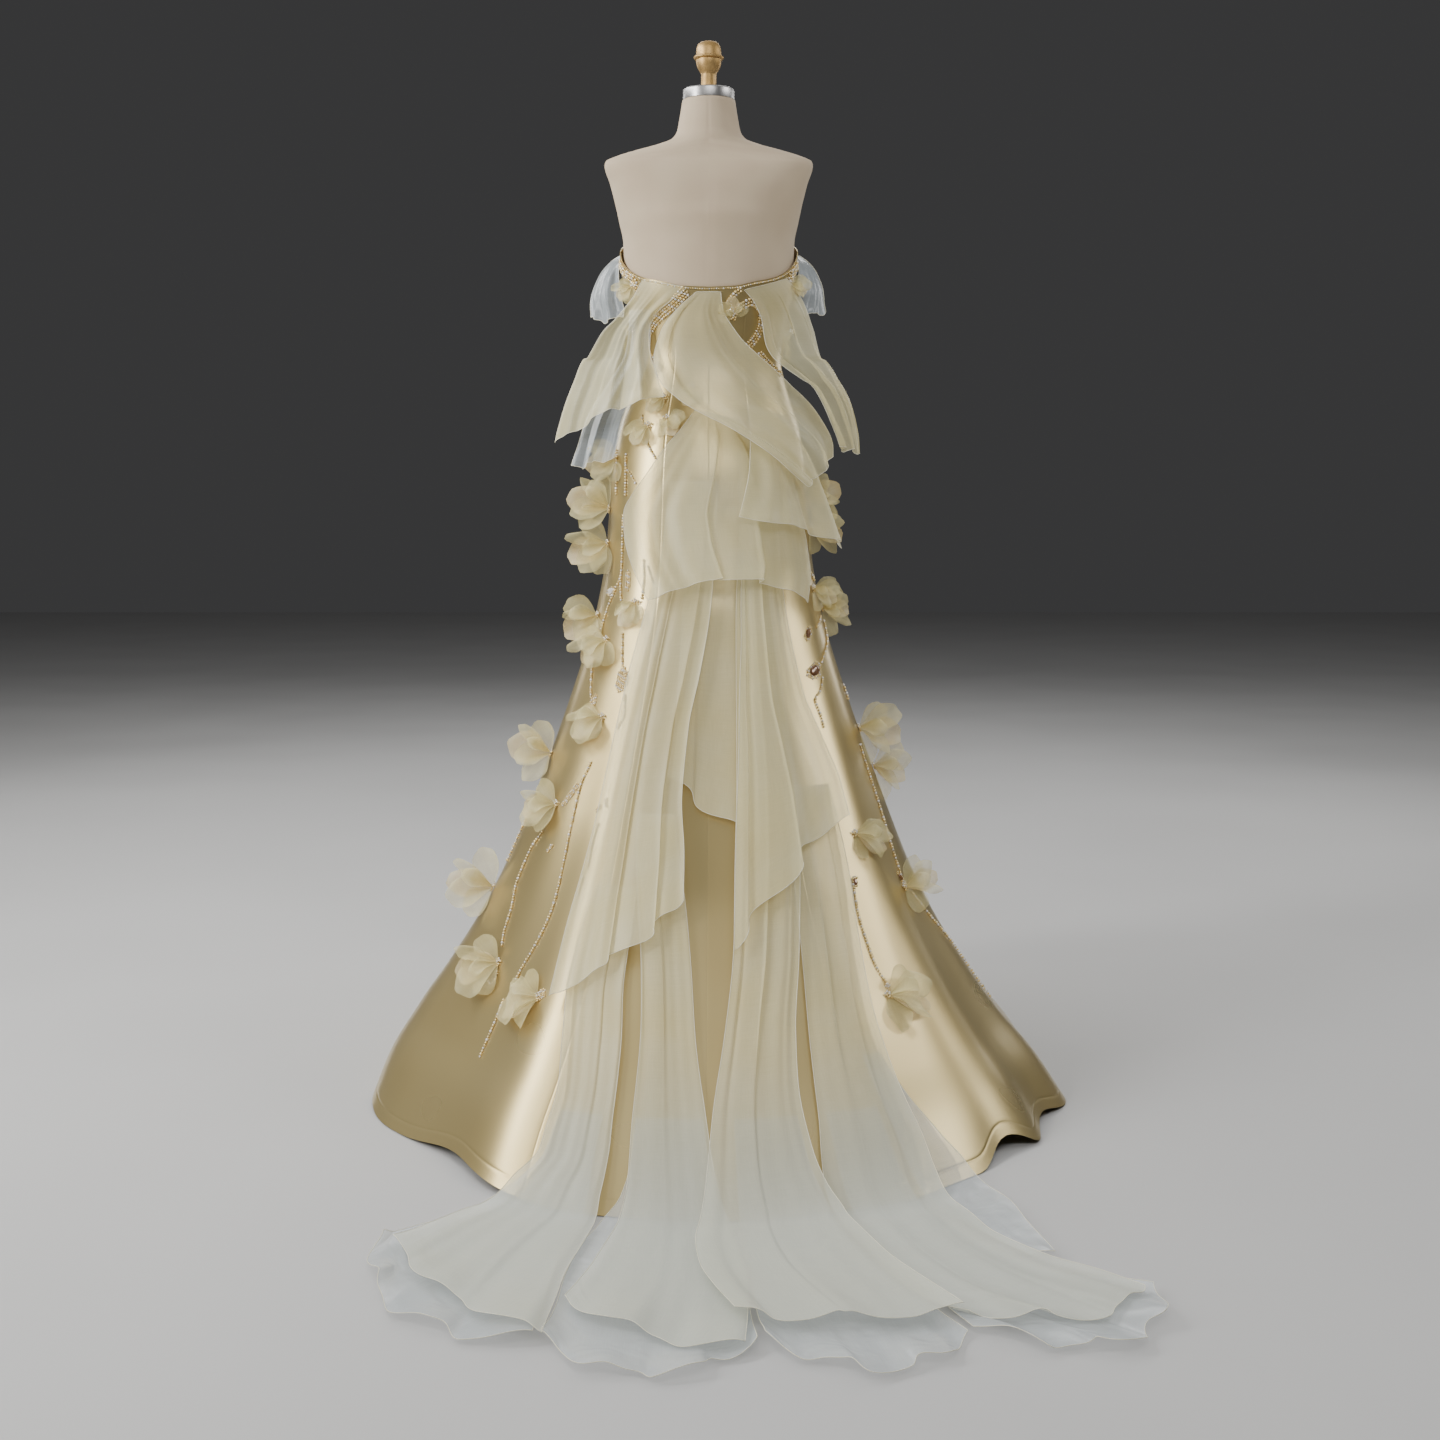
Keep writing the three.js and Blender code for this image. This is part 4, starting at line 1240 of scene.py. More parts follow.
DRAPES = (
    Drape(
        "wing_left", 2.6, 0.1,
        (
            (-48, 1286, -14, 1269, 0, SEWN, SEWN, 0),
            (-54, 1263, -26, 1249, 0, 10, 4, 1),
            (-65, 1232, -40, 1226, 2, 34, 9, 3),
            (-74, 1205, -47, 1196, 4, 58, 14, 5),
            (-81, 1168, -45, 1162, 6, 76, 20, 7),
            (-86, 1116, -37, 1130, 8, 86, 26, 8),
            (-88, 1062, -31, 1104, 4, 88, 30, 9),
            (-89, 1002, -26, 1082, -4, 88, 34, 10),
        ),
        rests=("gore_back_side_left", "gore_back_centre_left"),
        ruffle=5, scallops=3,
    ),
    Drape(
        "wing_left_under", 1.8, 0.35,
        (
            (-78, 1240, -46, 1236, 0, SEWN, SEWN, 0),
            (-81, 1200, -47, 1196, 0, 10, 6, 1.5),
            (-84, 1150, -49, 1150, 0, 26, 12, 3),
            (-87, 1090, -52, 1095, 0, 44, 18, 4),
            (-88, 1034, -56, 1042, 0, 58, 22, 5),
            (-87, 970, -59, 985, 6, 64, 28, 6),
        ),
        rests=("gore_back_side_left",),
        sheer=True, ruffle=5, scallops=3,
    ),
    Drape(
        "wing_right", 2.4, 0.3,
        (
            (24, 1266, 62, 1290, 0, SEWN, SEWN, 0),
            (32, 1246, 71, 1272, 0, 6, 14, 1),
            (38, 1216, 81, 1246, 0, 14, 34, 3),
            (39, 1184, 86, 1208, 0, 26, 56, 5),
            (43, 1152, 88, 1166, -2, 38, 74, 7),
            (49, 1126, 89, 1122, -5, 48, 86, 8),
            (55, 1108, 90, 1078, -8, 56, 94, 9),
            (61, 1094, 90, 1040, -8, 62, 98, 9),
            (69, 1050, 93, 1010, -4, 64, 98, 9),
            (76, 996, 94, 986, 0, 66, 94, 9),
        ),
        rests=("gore_back_side_right", "gore_back_centre_right"),
        ruffle=5, scallops=3,
    ),
    Drape(
        "swirl", 2.2, 0,
        (
            (-8, 1262, 8, 1262, 0, SEWN, SEWN, 0),
            (-22, 1234, 10, 1232, -2, 9, 7, 1.5),
            (-33, 1200, 20, 1196, -4, 20, 15, 3),
            (-38, 1160, 34, 1161, 0, 28, 23, 4),
            (-31, 1116, 48, 1124, 4, 37, 29, 5),
            (-16, 1072, 61, 1088, 10, 44, 34, 5),
            (8, 1026, 73, 1053, 12, 50, 40, 5),
            (30, 978, 80, 1018, 8, 56, 48, 5),
            (47, 933, 72, 984, 0, 60, 54, 4),
        ),
        ruffle=4, scallops=2,
    ),
    Drape(
        "tier_left", 3.2, 0.2,
        (
            (-9, 1068, 20, 1052, 0, SEWN_LOW, SEWN_LOW, 0),
            (-16, 1035, 30, 1015, 0, 10, 9, 1.5),
            (-24, 1000, 38, 985, 0, 19, 17, 3),
            (-32, 960, 44, 955, 0, 27, 25, 4),
            (-39, 925, 48, 920, 0, 33, 31, 5),
            (-43, 895, 51, 885, 2, 37, 35, 5),
            (-41, 850, 53, 845, 0, 40, 39, 6),
            (-36, 802, 53, 800, -10, 43, 42, 6),
            (-26, 738, 47, 736, -40, 45, 44, 7),
        ),
        ruffle=4, scallops=2,
    ),
    Drape(
        "tier_right", 2.3, 0.6,
        (
            (26, 1078, 56, 1060, 0, SEWN_LOW, SEWN_LOW, 0),
            (24, 1040, 60, 1020, 0, 21, 18, 1.5),
            (22, 1000, 65, 985, 0, 33, 28, 3),
            (20, 960, 70, 945, 0, 42, 36, 4),
            (17, 922, 76, 896, 0, 49, 44, 5),
            (14, 884, 81, 832, 0, 55, 54, 6),
        ),
        rests=("gore_back_side_right",),
        ruffle=4, scallops=2,
    ),
    Drape(
        "panel_centre", 1.5, 0.1,
        (
            (-12, 908, 21, 908, 0, SEWN, SEWN, 0),
            (-12, 850, 21, 850, 0, 5, 5, 1),
            (-12, 760, 20, 760, 0, 7, 7, 1.5),
            (-12, 660, 18, 660, 0, 8, 8, 2),
            (-12, 570, 17, 550, 0, 8, 8, 2),
            (-13, 482, 15, 396, 0, 8, 8, 2),
        ),
        ruffle=2, scallops=2,
    ),
    Drape(
        "panel_left", 2.4, 0.7,
        (
            (-22, 950, 5, 950, 0, SEWN, SEWN, 0),
            (-23, 890, 4, 890, 0, 9, 9, 1),
            (-25, 820, 3, 820, 0, 14, 15, 2),
            (-31, 725, 1, 735, 0, 18, 18, 3),
            (-34, 620, -3, 640, 0, 20, 20, 4),
            (-34.5, 520, -7, 550, 0, 20, 20, 4),
            (-34.5, 420, -8, 455, 0, 20, 20, 5),
            (-35, 300, -6.5, 375, 4, 21, 21, 5),
            (-33, 188, -6, 310, 5, 21, 21, 5),
        ),
        ruffle=4, scallops=3,
    ),
    Drape(
        "panel_right", 2.2, 0.4,
        (
            (17, 1000, 38, 1000, 0, SEWN, SEWN, 0),
            (17.5, 955, 38, 955, 0, 8, 8, 0.5),
            (17.5, 910, 38, 910, 0, 16, 16, 1.5),
            (17, 850, 37.5, 850, 0, 23, 23, 2.5),
            (15, 760, 37, 760, 0, 26, 26, 3),
            (13.5, 680, 37, 685, 0, 28, 28, 4),
            (11.5, 600, 37.5, 605, 0, 29, 29, 4),
            (10, 510, 42, 525, 0, 29, 29, 4),
            (8, 400, 45, 465, -10, 29, 28, 5),
            (6, 245, 44.5, 412, -35, 29, 28, 5),
        ),
        rests=("gore_back_side_right",),
        ruffle=3, scallops=3,
    ),
    Drape(
        "train_left", 2.2, 0.15,
        (
            (-31, 335, -19, 335, 0, SEWN, SEWN, 0),
            (-31.5, 285, -18.5, 285, 0, 6, 6, 1),
            (-31, 225, -18, 225, 0, 10, 9, 2),
            (-28, 150, -16, 150, 0, 11, 10, 2.5),
            (-25.5, 85, -15, 85, 0, 11, 10, 2.5),
            (-25.5, 45, -14.5, 45, 0, 11, 10, 2.5),
            (-28, 8, -14.5, 8, 0, 11, 10, 2.5),
            (-29, -32, -14, -32, 0, 11, 10, 2.5),
            (-30.5, -80, -13.5, -95, 0, 11, 10, 3),
            (-30.8, -125, -13, -185, 4, 12, 11, 4),
            (-31, -168, -12, -280, 8, 13, 12, 5),
            (-31, -203, -11.2, -370, 12, 16, 13, 6),
        ),
        ruffle=9, scallops=6,
    ),
    Drape(
        "train_middle", 2, 0.5,
        (
            (-22, 435, -10, 435, 0, SEWN, SEWN, 0),
            (-20.5, 385, -8.5, 385, 0, 6, 5, 1),
            (-17.5, 310, -5.5, 310, 0, 9, 7, 2),
            (-14.5, 235, -3.5, 235, 0, 10, 7, 2),
            (-12.5, 155, -2, 155, 0, 10, 7, 2),
            (-11.8, 85, 0, 85, 0, 10, 7, 2),
            (-11.3, 45, 1, 45, 0, 10, 7, 2),
            (-11, 8, 2, 8, 0, 10, 7, 2),
            (-11, -32, 3, -32, 0, 10, 7, 2),
            (-11, -90, 3.5, -90, 0, 10, 7, 2),
            (-11, -155, 4, -165, 4, 10, 7, 2),
            (-11.2, -220, 3.6, -270, 16, 11, 8, 3),
            (-11.4, -268, 2.9, -372, 33, 13, 9, 4),
        ),
        ruffle=9, scallops=6,
    ),
    Drape(
        "train_centre", 2.3, 0.35,
        (
            (17, 950, 33, 950, 0, SEWN, SEWN, 0),
            (17, 915, 33, 915, 0, 7, 7, 1),
            (16, 850, 32, 850, 0, 12, 12, 1.5),
            (13, 740, 31, 740, 0, 16, 16, 2),
            (11, 620, 30, 620, 0, 17, 17, 2.5),
            (9.5, 500, 29, 500, 0, 18, 18, 3),
            (8, 380, 26, 380, 0, 18, 18, 3),
            (6, 250, 21, 250, 0, 18, 18, 3),
            (3.5, 160, 17, 160, 0, 18, 18, 3),
            (1.2, 85, 15.5, 85, 0, 18, 18, 3),
            (0.5, 45, 16, 45, 0, 18, 18, 3),
            (0, 8, 17, 8, 0, 18, 18, 3),
            (-0.5, -32, 18, -32, 0, 18, 18, 3),
            (-1, -90, 18, -90, 0, 18, 18, 3),
            (-0.5, -165, 18, -170, 0, 18, 18, 4),
            (1, -245, 18.5, -262, 4, 18, 18, 4),
            (2.4, -312, 19.2, -352, 8, 20, 18, 5),
        ),
        rests=("gore_back_centre_right", "gore_back_side_right"),
        ruffle=8, scallops=5,
    ),
    Drape(
        "train_right", 2.4, 0.8,
        (
            (25, 470, 44, 470, 0, SEWN, SEWN, 0),
            (24.5, 420, 43.5, 420, 0, 5, 5, 1),
            (23.5, 340, 42, 340, 0, 7, 8, 1.5),
            (22, 250, 38, 250, 0, 8, 9, 2),
            (20, 160, 35, 160, 0, 8, 10, 2),
            (18.5, 85, 34.5, 85, 0, 8, 10, 2),
            (17.5, 45, 35, 45, 0, 8, 10, 2),
            (17, 8, 34.5, 8, 0, 8, 10, 2),
            (17, -32, 33.5, -32, 0, 8, 10, 2),
            (17, -90, 32.5, -90, 0, 8, 10, 2),
            (17, -165, 31, -165, 0, 8, 11, 2),
            (17.5, -245, 31.5, -250, 12, 8, 12, 3),
            (18.5, -310, 33, -325, 32, 9, 13, 4),
            (20, -342, 33.6, -385, 48, 11, 14, 5),
        ),
        rests=("gore_back_side_right",),
        ruffle=9, scallops=6,
    ),
    Drape(
        "train_right_under", 1, 0.2,
        (
            (30, 135, 34, 135, 0, SEWN_LOW, SEWN_LOW, 0),
            (30.5, 85, 36.5, 85, 0, 1.6, 1.8, 0.2),
            (31, 45, 39.5, 45, 0, 2.2, 2.8, 0.4),
            (31, 8, 41.4, 8, 0, 2.6, 3.4, 0.5),
            (31, -32, 41, -32, 0, 3, 5, 0.8),
            (31, -90, 39.4, -90, 0, 3, 8, 1),
            (31, -165, 35.6, -168, 0, 3, 10, 1),
            (31.2, -228, 33, -246, 0, 3.5, 8, 1),
        ),
        rests=("gore_back_side_right",),
        sheer=True, ruffle=6, scallops=4,
    ),
    Drape(
        "flounce_left", 3.2, 0.45,
        (
            (-24.5, 85, -17, 85, 0, SEWN_LOW, SEWN_LOW, 0),
            (-25, 45, -17, 45, 0, 1.8, 1.8, 0.2),
            (-28, 8, -16.5, 8, 0, 2.4, 2.4, 0.4),
            (-30.4, -32, -16, -32, 0, 3, 3, 0.6),
            (-31.5, -85, -15.8, -95, 8, 3, 3, 0.8),
            (-33, -135, -14.4, -190, 26, 4, 3, 1),
            (-33.4, -168, -12.9, -290, 54, 6, 4, 1.5),
            (-33.5, -188, -11.9, -368, 76, 9, 6, 3),
        ),
        sheer=True, ruffle=11, scallops=8,
    ),
    Drape(
        "flounce_middle", 3, 0.1,
        (
            (-11.4, 85, -0.5, 85, 0, SEWN_LOW, SEWN_LOW, 0),
            (-11.2, 45, 0.5, 45, 0, 1.8, 1.6, 0.2),
            (-11.8, 8, 1.7, 8, 0, 2.4, 2, 0.4),
            (-13.4, -32, 3, -32, 0, 3, 2, 0.4),
            (-14, -90, 3.5, -90, 0, 3, 2, 0.5),
            (-13.3, -175, 3.8, -175, 8, 3, 2, 0.5),
            (-12, -275, 3.8, -265, 40, 4, 2.2, 0.8),
            (-11.3, -366, 3.8, -358, 74, 7, 5, 3),
        ),
        rests=("gore_back_centre_left", "gore_back_centre_right"),
        sheer=True, ruffle=11, scallops=8,
    ),
    Drape(
        "flounce_centre", 3, 0.7,
        (
            (4.6, 85, 15, 85, 0, SEWN_LOW, SEWN_LOW, 0),
            (4.6, 45, 15.5, 45, 0, 1.8, 1.6, 0.2),
            (4.6, 8, 16.5, 8, 0, 2.4, 2, 0.4),
            (4.6, -32, 17, -32, 0, 3, 2, 0.4),
            (4.6, -90, 17, -90, 0, 3, 2, 0.5),
            (4.5, -175, 18, -180, 8, 3, 2, 0.5),
            (4.3, -270, 18.4, -285, 40, 5, 2.2, 1),
            (4.4, -352, 18.7, -380, 78, 8, 4, 3),
        ),
        rests=("gore_back_centre_right",),
        sheer=True, ruffle=11, scallops=8,
    ),
    Drape(
        "flounce_right", 3.4, 0.25,
        (
            (20, 85, 29, 85, 0, SEWN_LOW, SEWN_LOW, 0),
            (20, 45, 29.2, 45, 0, 1.6, 1.8, 0.2),
            (20, 8, 29.4, 8, 0, 2, 2.4, 0.4),
            (20, -32, 29.4, -32, 0, 2, 3, 0.4),
            (19.7, -90, 29.4, -90, 0, 2, 3, 0.5),
            (19.5, -175, 29.2, -175, 10, 2, 3, 0.5),
            (19.3, -260, 30.2, -262, 36, 2.5, 4, 0.8),
            (19.3, -325, 33.4, -330, 66, 4, 6, 1.5),
            (19.3, -374, 34.8, -384, 94, 6, 9, 3),
        ),
        rests=("gore_back_centre_right", "gore_back_side_right"),
        sheer=True, ruffle=13, scallops=9,
    ),
    Drape(
        "bust_ruffle_left", 1.6, 0.2,
        (
            (-114, 1346, -84, 1322, 0, SEWN, SEWN, 0),
            (-112, 1334, -81, 1306, 0, 26, 5, 1),
            (-108, 1312, -77, 1284, 0, 50, 8, 3),
            (-104, 1284, -74, 1258, 0, 63, 11, 4),
            (-100, 1252, -72, 1232, 8, 66, 14, 5),
        ),
        rests=("gore_front_side_left", "gore_back_side_left"),
        sheer=True, ruffle=5, scallops=4,
    ),
    Drape(
        "bust_ruffle_right", 1.6, 0.6,
        (
            (84, 1322, 114, 1346, 0, SEWN - 0.2, SEWN - 0.2, 0),
            (81, 1308, 112, 1336, 0, 5, 24, 1),
            (78, 1290, 108, 1316, 0, 8, 46, 3),
            (75, 1268, 104, 1290, 0, 11, 58, 4),
            (73, 1244, 100, 1260, 8, 14, 60, 5),
        ),
        rests=("gore_front_side_right",),
        sheer=True, ruffle=5, scallops=4,
    ),
)


@dataclass
class Drapery:
    """The organza that is sewn to the back of the gown and trails on the floor."""

    map: GownMap
    wardrobe: Wardrobe
    drapes: tuple[Drape, ...] = DRAPES
    columns: int = 72
    row_step: float = 7.0
    most_rows: int = 130
    hem_share: float = 0.2
    edge_radius: float = 0.5
    crisp: float = 0.3
    lean: float = 1.25
    calmest: float = 0.45
    calm_below: float = 260.0

    def build(self) -> list[Piece]:
        """Make every piece."""
        return [self._drape(drape) for drape in self.drapes]

    def _rows(self, drape: Drape) -> tuple[Array, Array]:
        """The piece's sections, many to one, by a smooth curve through the given ones.

        Args:
            drape: The piece.

        Returns:
            The sections and each one's share of the way down.
        """
        given = np.array(drape.sections, float)
        middle = np.stack([given[:, [0, 2]].mean(1) * 3, given[:, [1, 3]].mean(1)], axis=1)
        run = running_length(middle)
        count = int(min(self.most_rows, max(36, run[-1] / self.row_step)))
        at = np.linspace(0, run[-1], count)
        fine = np.stack([monotone(run, column)(at) for column in given.T], axis=1)
        return fine, at / run[-1]

    def grid(self, drape: Drape) -> Array:
        """The piece's points in millimetres, rows down and columns to the right.

        Args:
            drape: The piece.

        Returns:
            An array of rows by columns by 3.
        """
        fine, share = self._rows(drape)
        left, left_h, right, right_h, drop, left_off, right_off, fold = (
            column[:, None] for column in fine.T
        )
        v = share[:, None]
        u = np.linspace(0, 1, self.columns + 1)[None]
        w, p, turn = drape.waves, drape.phase, 2 * math.pi
        drift = 0.12 * np.sin(2.3 * v + 5 * p)
        uneven = u + 0.07 * np.sin(turn * (0.8 * u + 1.7 * p) + 1.6 * v)
        main = np.sin(turn * (w * uneven + p + drift * v))
        slow = np.sin(turn * (0.43 * w * u + 2.3 * p))
        crisp = np.sin(turn * (2.9 * w * u + 1.7 * p + 0.5 * drift))
        hem = smooth_step(1 - self.hem_share, 1.0, v)
        curl = 0.5 + 0.5 * np.sin(turn * (0.9 * w * u + 3.1 * p + 0.1))
        height = lerp(left_h, right_h, u) - drop * 4 * u * (1 - u)
        scallop = np.sin(turn * (0.9 * w * u + 0.7 * p)) + 0.3 * np.sin(
            turn * (2.1 * w * u + 1.3 * p)
        )
        height = height + drape.scallops * hem**2 * scallop * np.minimum(
            1, 6 * u * (1 - u) + 0.1
        )
        calm = self.calmest + (1 - self.calmest) * smooth_step(0, self.calm_below, height)
        off = (
            lerp(left_off, right_off, u)
            + fold * calm * (0.7 * main + 0.3 * slow)
            + self.crisp * calm * np.minimum(fold, 5) * crisp * (0.4 + 0.6 * v)
            + drape.ruffle * hem**2 * curl
        )
        least = np.minimum(lerp(left_off, right_off, u), LEAST_STAND_OFF)
        off = np.maximum(off, least)
        free = np.sqrt(4 * u * (1 - u)) * np.clip(fold / 2, 0, 1) * calm
        leaning = self.lean * (0.75 + 0.35 * slow) * (right - left) / (turn * w)
        return self.map.off(lerp(left, right, u) + leaning * main * free, height, off)

    def _drape(self, drape: Drape) -> Piece:
        """Make one piece as a single sheet with a fine rolled edge.

        Args:
            drape: The piece.

        Returns:
            Its object.
        """
        grid = self.grid(drape) * MM
        rows, columns, _ = grid.shape
        parts = MeshParts()
        points = grid.reshape(-1, 3)
        parts.add(
            points, grid_faces(rows, columns), 0, flat_places(grid).reshape(-1, 2)
        )
        border = grid_border(rows, columns)
        parts.add(*tube(points[border], self.edge_radius * MM, 5, True), 1)
        cloth = self.wardrobe.underlay if drape.sheer else self.wardrobe.organza
        made = parts.build("organza_" + drape.name, [cloth, self.wardrobe.edge], 180)
        dress(made, drape.name)
        Cut.of_grid(grid).declare(made, Held.DRAPED, drape.rests)
        return made


# ---------------------------------------------------------------- flowers


# angle, height, radius, rise
FLOWERS = np.array(
    [
        [-75, 985, 26, 22],
        [-43, 1034, 22, 16],
        [-25, 1046, 18, 14],
        [-82, 911, 36, 30],
        [-79, 838, 34, 28],
        [-76, 716, 32, 26],
        [-41, 740, 22, 16],
        [-58, 676, 30, 24],
        [-48, 559, 30, 24],
        [-80, 505, 32, 30],
        [-59, 430, 32, 24],
        [-86, 292, 34, 32],
        [-60, 206, 34, 24],
        [-40.5, 182, 34, 22],
        [82, 925, 28, 24],
        [83, 866, 28, 24],
        [74, 764, 24, 20],
        [88, 735, 26, 22],
        [87, 535, 34, 32],
        [91, 470, 30, 28],
        [51.5, 388, 28, 20],
        [68, 312, 28, 24],
        [44, 182, 36, 22],
        [17, 1233, 15, 10],
        [-103, 1205, 26, 20],
        [104, 1195, 26, 20],
        [140, 840, 32, 24],
        [-146, 640, 32, 24],
        [-62, 1272, 17, 14],
        [70, 1276, 17, 14],
        [-12, 1098, 15, 10],
        [-35, 1085, 16, 12],
    ],
    float,
)


# the way each flower opens in its own plane, in degrees from level, and its spread
FLOWER_WAYS = np.array(
    [
        [200, 150], [230, 120], [300, 140], [165, 150], [205, 150], [215, 130], [250, 110],
        [235, 130], [225, 120], [170, 150], [200, 130], [175, 140], [205, 130], [215, 160],
        [20, 140], [-20, 150], [-35, 130], [-10, 150], [-15, 150], [-25, 140], [-40, 120],
        [15, 140], [-35, 150], [100, 200], [200, 170], [-20, 170], [-60, 170], [240, 170],
        [215, 130], [-30, 120], [250, 120], [215, 130],
    ],
    float,
)


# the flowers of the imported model; the rest are small ones under the wings
PACKED_FLOWERS = 28


@dataclass
class Flowers:
    """Organza blossoms, each a fan of ruffled petals gathered at a knot of beads."""

    map: GownMap
    wardrobe: Wardrobe
    petals: int = 5
    petal_rows: int = 13
    petal_columns: int = 13
    beads: int = 11
    bead_radius: float = 1.9
    bead_reach: float = 2.3
    bead_turn: float = 2.4
    stand_off: float = 0.6
    most_turned: float = 0.8
    seed: int = 11

    def build(self) -> list[Piece]:
        """Make every flower."""
        rng = np.random.default_rng(self.seed)
        return [self._flower(i, row, rng) for i, row in enumerate(FLOWERS)]

    def _petal(self, length: float, width: float, lift: float, cup: float, phase: float) -> Array:
        """A petal that lies along +X and rises, in millimetres.

        Args:
            length: From its foot to its tip.
            width: Across its widest place.
            lift: How high its tip stands.
            cup: How far its sides curl up.
            phase: Where its ruffles start.

        Returns:
            A grid of points.
        """
        s = np.linspace(0, 1, self.petal_rows)[:, None]
        t = np.linspace(-1, 1, self.petal_columns)[None]
        half = width / 2 * (0.06 + 0.94 * np.sin(np.pi / 2 * s) ** 1.3)
        rim = np.cos(np.pi / 2 * t) * (1 + 0.05 * np.cos(3 * math.pi * t + phase) * s**3)
        x = length * (0.02 + 0.50 * s + 0.48 * s * rim)
        y = half * np.sin(np.pi / 2 * t)
        pleats = 0.012 * length * np.sin(3.4 * math.pi * t + phase) * s * (1 - 0.6 * s)
        wave = 0.06 * length * np.sin(1.3 * math.pi * t + 2 * phase) * s**2.6
        z = lift * np.sin(s * 1.9) / math.sin(1.9) + cup * half * t**2 * (0.3 + 0.7 * s)
        return np.stack([x, y, z + pleats + wave], axis=-1)

    def _flower(self, index: int, row: Array, rng: np.random.Generator) -> Piece:
        """Make one flower on its place on the satin.

        Args:
            index: Its number, from 0.
            row: Its angle, height, radius and rise.
            rng: The source of its unevenness.

        Returns:
            Its object.
        """
        angle, height, radius, rise = row
        way, spread = np.radians(FLOWER_WAYS[index])
        place, basis = self.map.frame_at(angle, height)
        out = basis[2]
        seat = place + out * self.stand_off
        level = abs(math.cos(math.radians(angle)))
        knot = -0.6 * radius * np.array([level * math.cos(way), math.sin(way), 0.0])
        fan = self._fan(angle, out)
        parts = MeshParts()
        for k in range(self.petals + 2):
            inner = k >= self.petals
            share = (k + 0.5) / self.petals - 0.5 if not inner else rng.uniform(-0.25, 0.25)
            a = way + spread * share * rng.uniform(0.85, 1.15)
            long = radius * rng.uniform(1.8, 2.35) * (0.6 if inner else 1 - 0.25 * abs(share))
            slim = k % 4 == 1
            lift = rise * (0.15 + 0.95 * ((k * 0.618) % 1)) * (1.4 if inner or slim else 1.0)
            petal = self._petal(
                long,
                long * rng.uniform(0.58, 0.78) * (0.5 if slim else 1.0),
                lift,
                rng.uniform(0.05, 0.4),
                rng.uniform(0, 6.28),
            )
            turned = np.stack(
                [
                    petal[..., 0] * math.cos(a) - petal[..., 1] * math.sin(a),
                    petal[..., 0] * math.sin(a) + petal[..., 1] * math.cos(a),
                    petal[..., 2] + 0.4,
                ],
                axis=-1,
            )
            local = turned.reshape(-1, 3) @ fan @ basis.T + knot
            local[:, 2] = np.maximum(local[:, 2], 0.4 + 0.25 * k)
            points = self._laid(local, seat, basis, angle, height)
            parts.add(
                points * MM,
                grid_faces(self.petal_rows, self.petal_columns),
                int(k % 3 == 2),
                petal[..., :2].reshape(-1, 2) * MM,
            )
        ball, faces = ball_shape()
        for k in range(self.beads):
            reach = self.bead_reach * math.sqrt(k)
            a = k * self.bead_turn
            centre = knot + [reach * math.cos(a), reach * math.sin(a), 3.6 if k == 0 else 2.2]
            laid = self._laid(centre[None], seat, basis, angle, height)
            parts.add((ball * self.bead_radius + laid) * MM, faces, 2 if k % 3 else 3)
        number = f"{index + 1:02d}"
        made = parts.build(
            "blossom_" + number,
            [
                self.wardrobe.petal,
                self.wardrobe.tinted_petal,
                self.wardrobe.gold,
                self.wardrobe.crystal,
            ],
            180,
        )
        packed = index < PACKED_FLOWERS
        dress(made, "flower_" + number if packed else None)
        return made

    def _fan(self, angle: float, out: Array) -> Array:
        """The three directions of a flower's fan: to the right, up and its face.

        Args:
            angle: The flower's angle on the map.
            out: The satin's normal there.

        Returns:
            The directions as rows.
        """
        at_back = abs(angle) < 100
        share = self.most_turned * float(smooth_step(40, 78, abs(angle))) if at_back else 0.0
        face = unit(out * (1 - share) + np.array([0.0, -1.0, 0.25]) * share)
        right = unit(np.cross([0.0, 0.0, 1.0], face))
        return np.stack([right, np.cross(face, right), face])

    def _laid(
        self, points: Array, seat: Array, basis: Array, angle: float, height: float
    ) -> Array:
        """Lay points of the flower's own plane on the curve of the satin.

        Args:
            points: Across, up and out of the plane, in millimetres.
            seat: The middle of the flower.
            basis: The plane's three directions.
            angle: The flower's angle on the map.
            height: The flower's height on the map.

        Returns:
            The points in the gown's frame, in millimetres.
        """
        one = self.map.point(angle + 1.0, height, False) - seat
        turn = points[:, 0] / float(np.linalg.norm(one))
        up = points[:, 1] * basis[1][2]
        on = self.map.off(angle + turn, height + up, points[:, 2] + self.stand_off)
        plane = points @ basis + seat
        share = np.clip(points[:, 2:3] / 14, 0, 1)
        return lerp(on, plane, share * 0.6)


# ---------------------------------------------------------------- beading


@dataclass(frozen=True)
class Strand:
    """A strand of beads along places on the satin, each an angle and a height."""

    places: tuple[tuple[float, float], ...]
    lanes: int = 1
    spacing: float = 5.0
    radius: float = 2.2


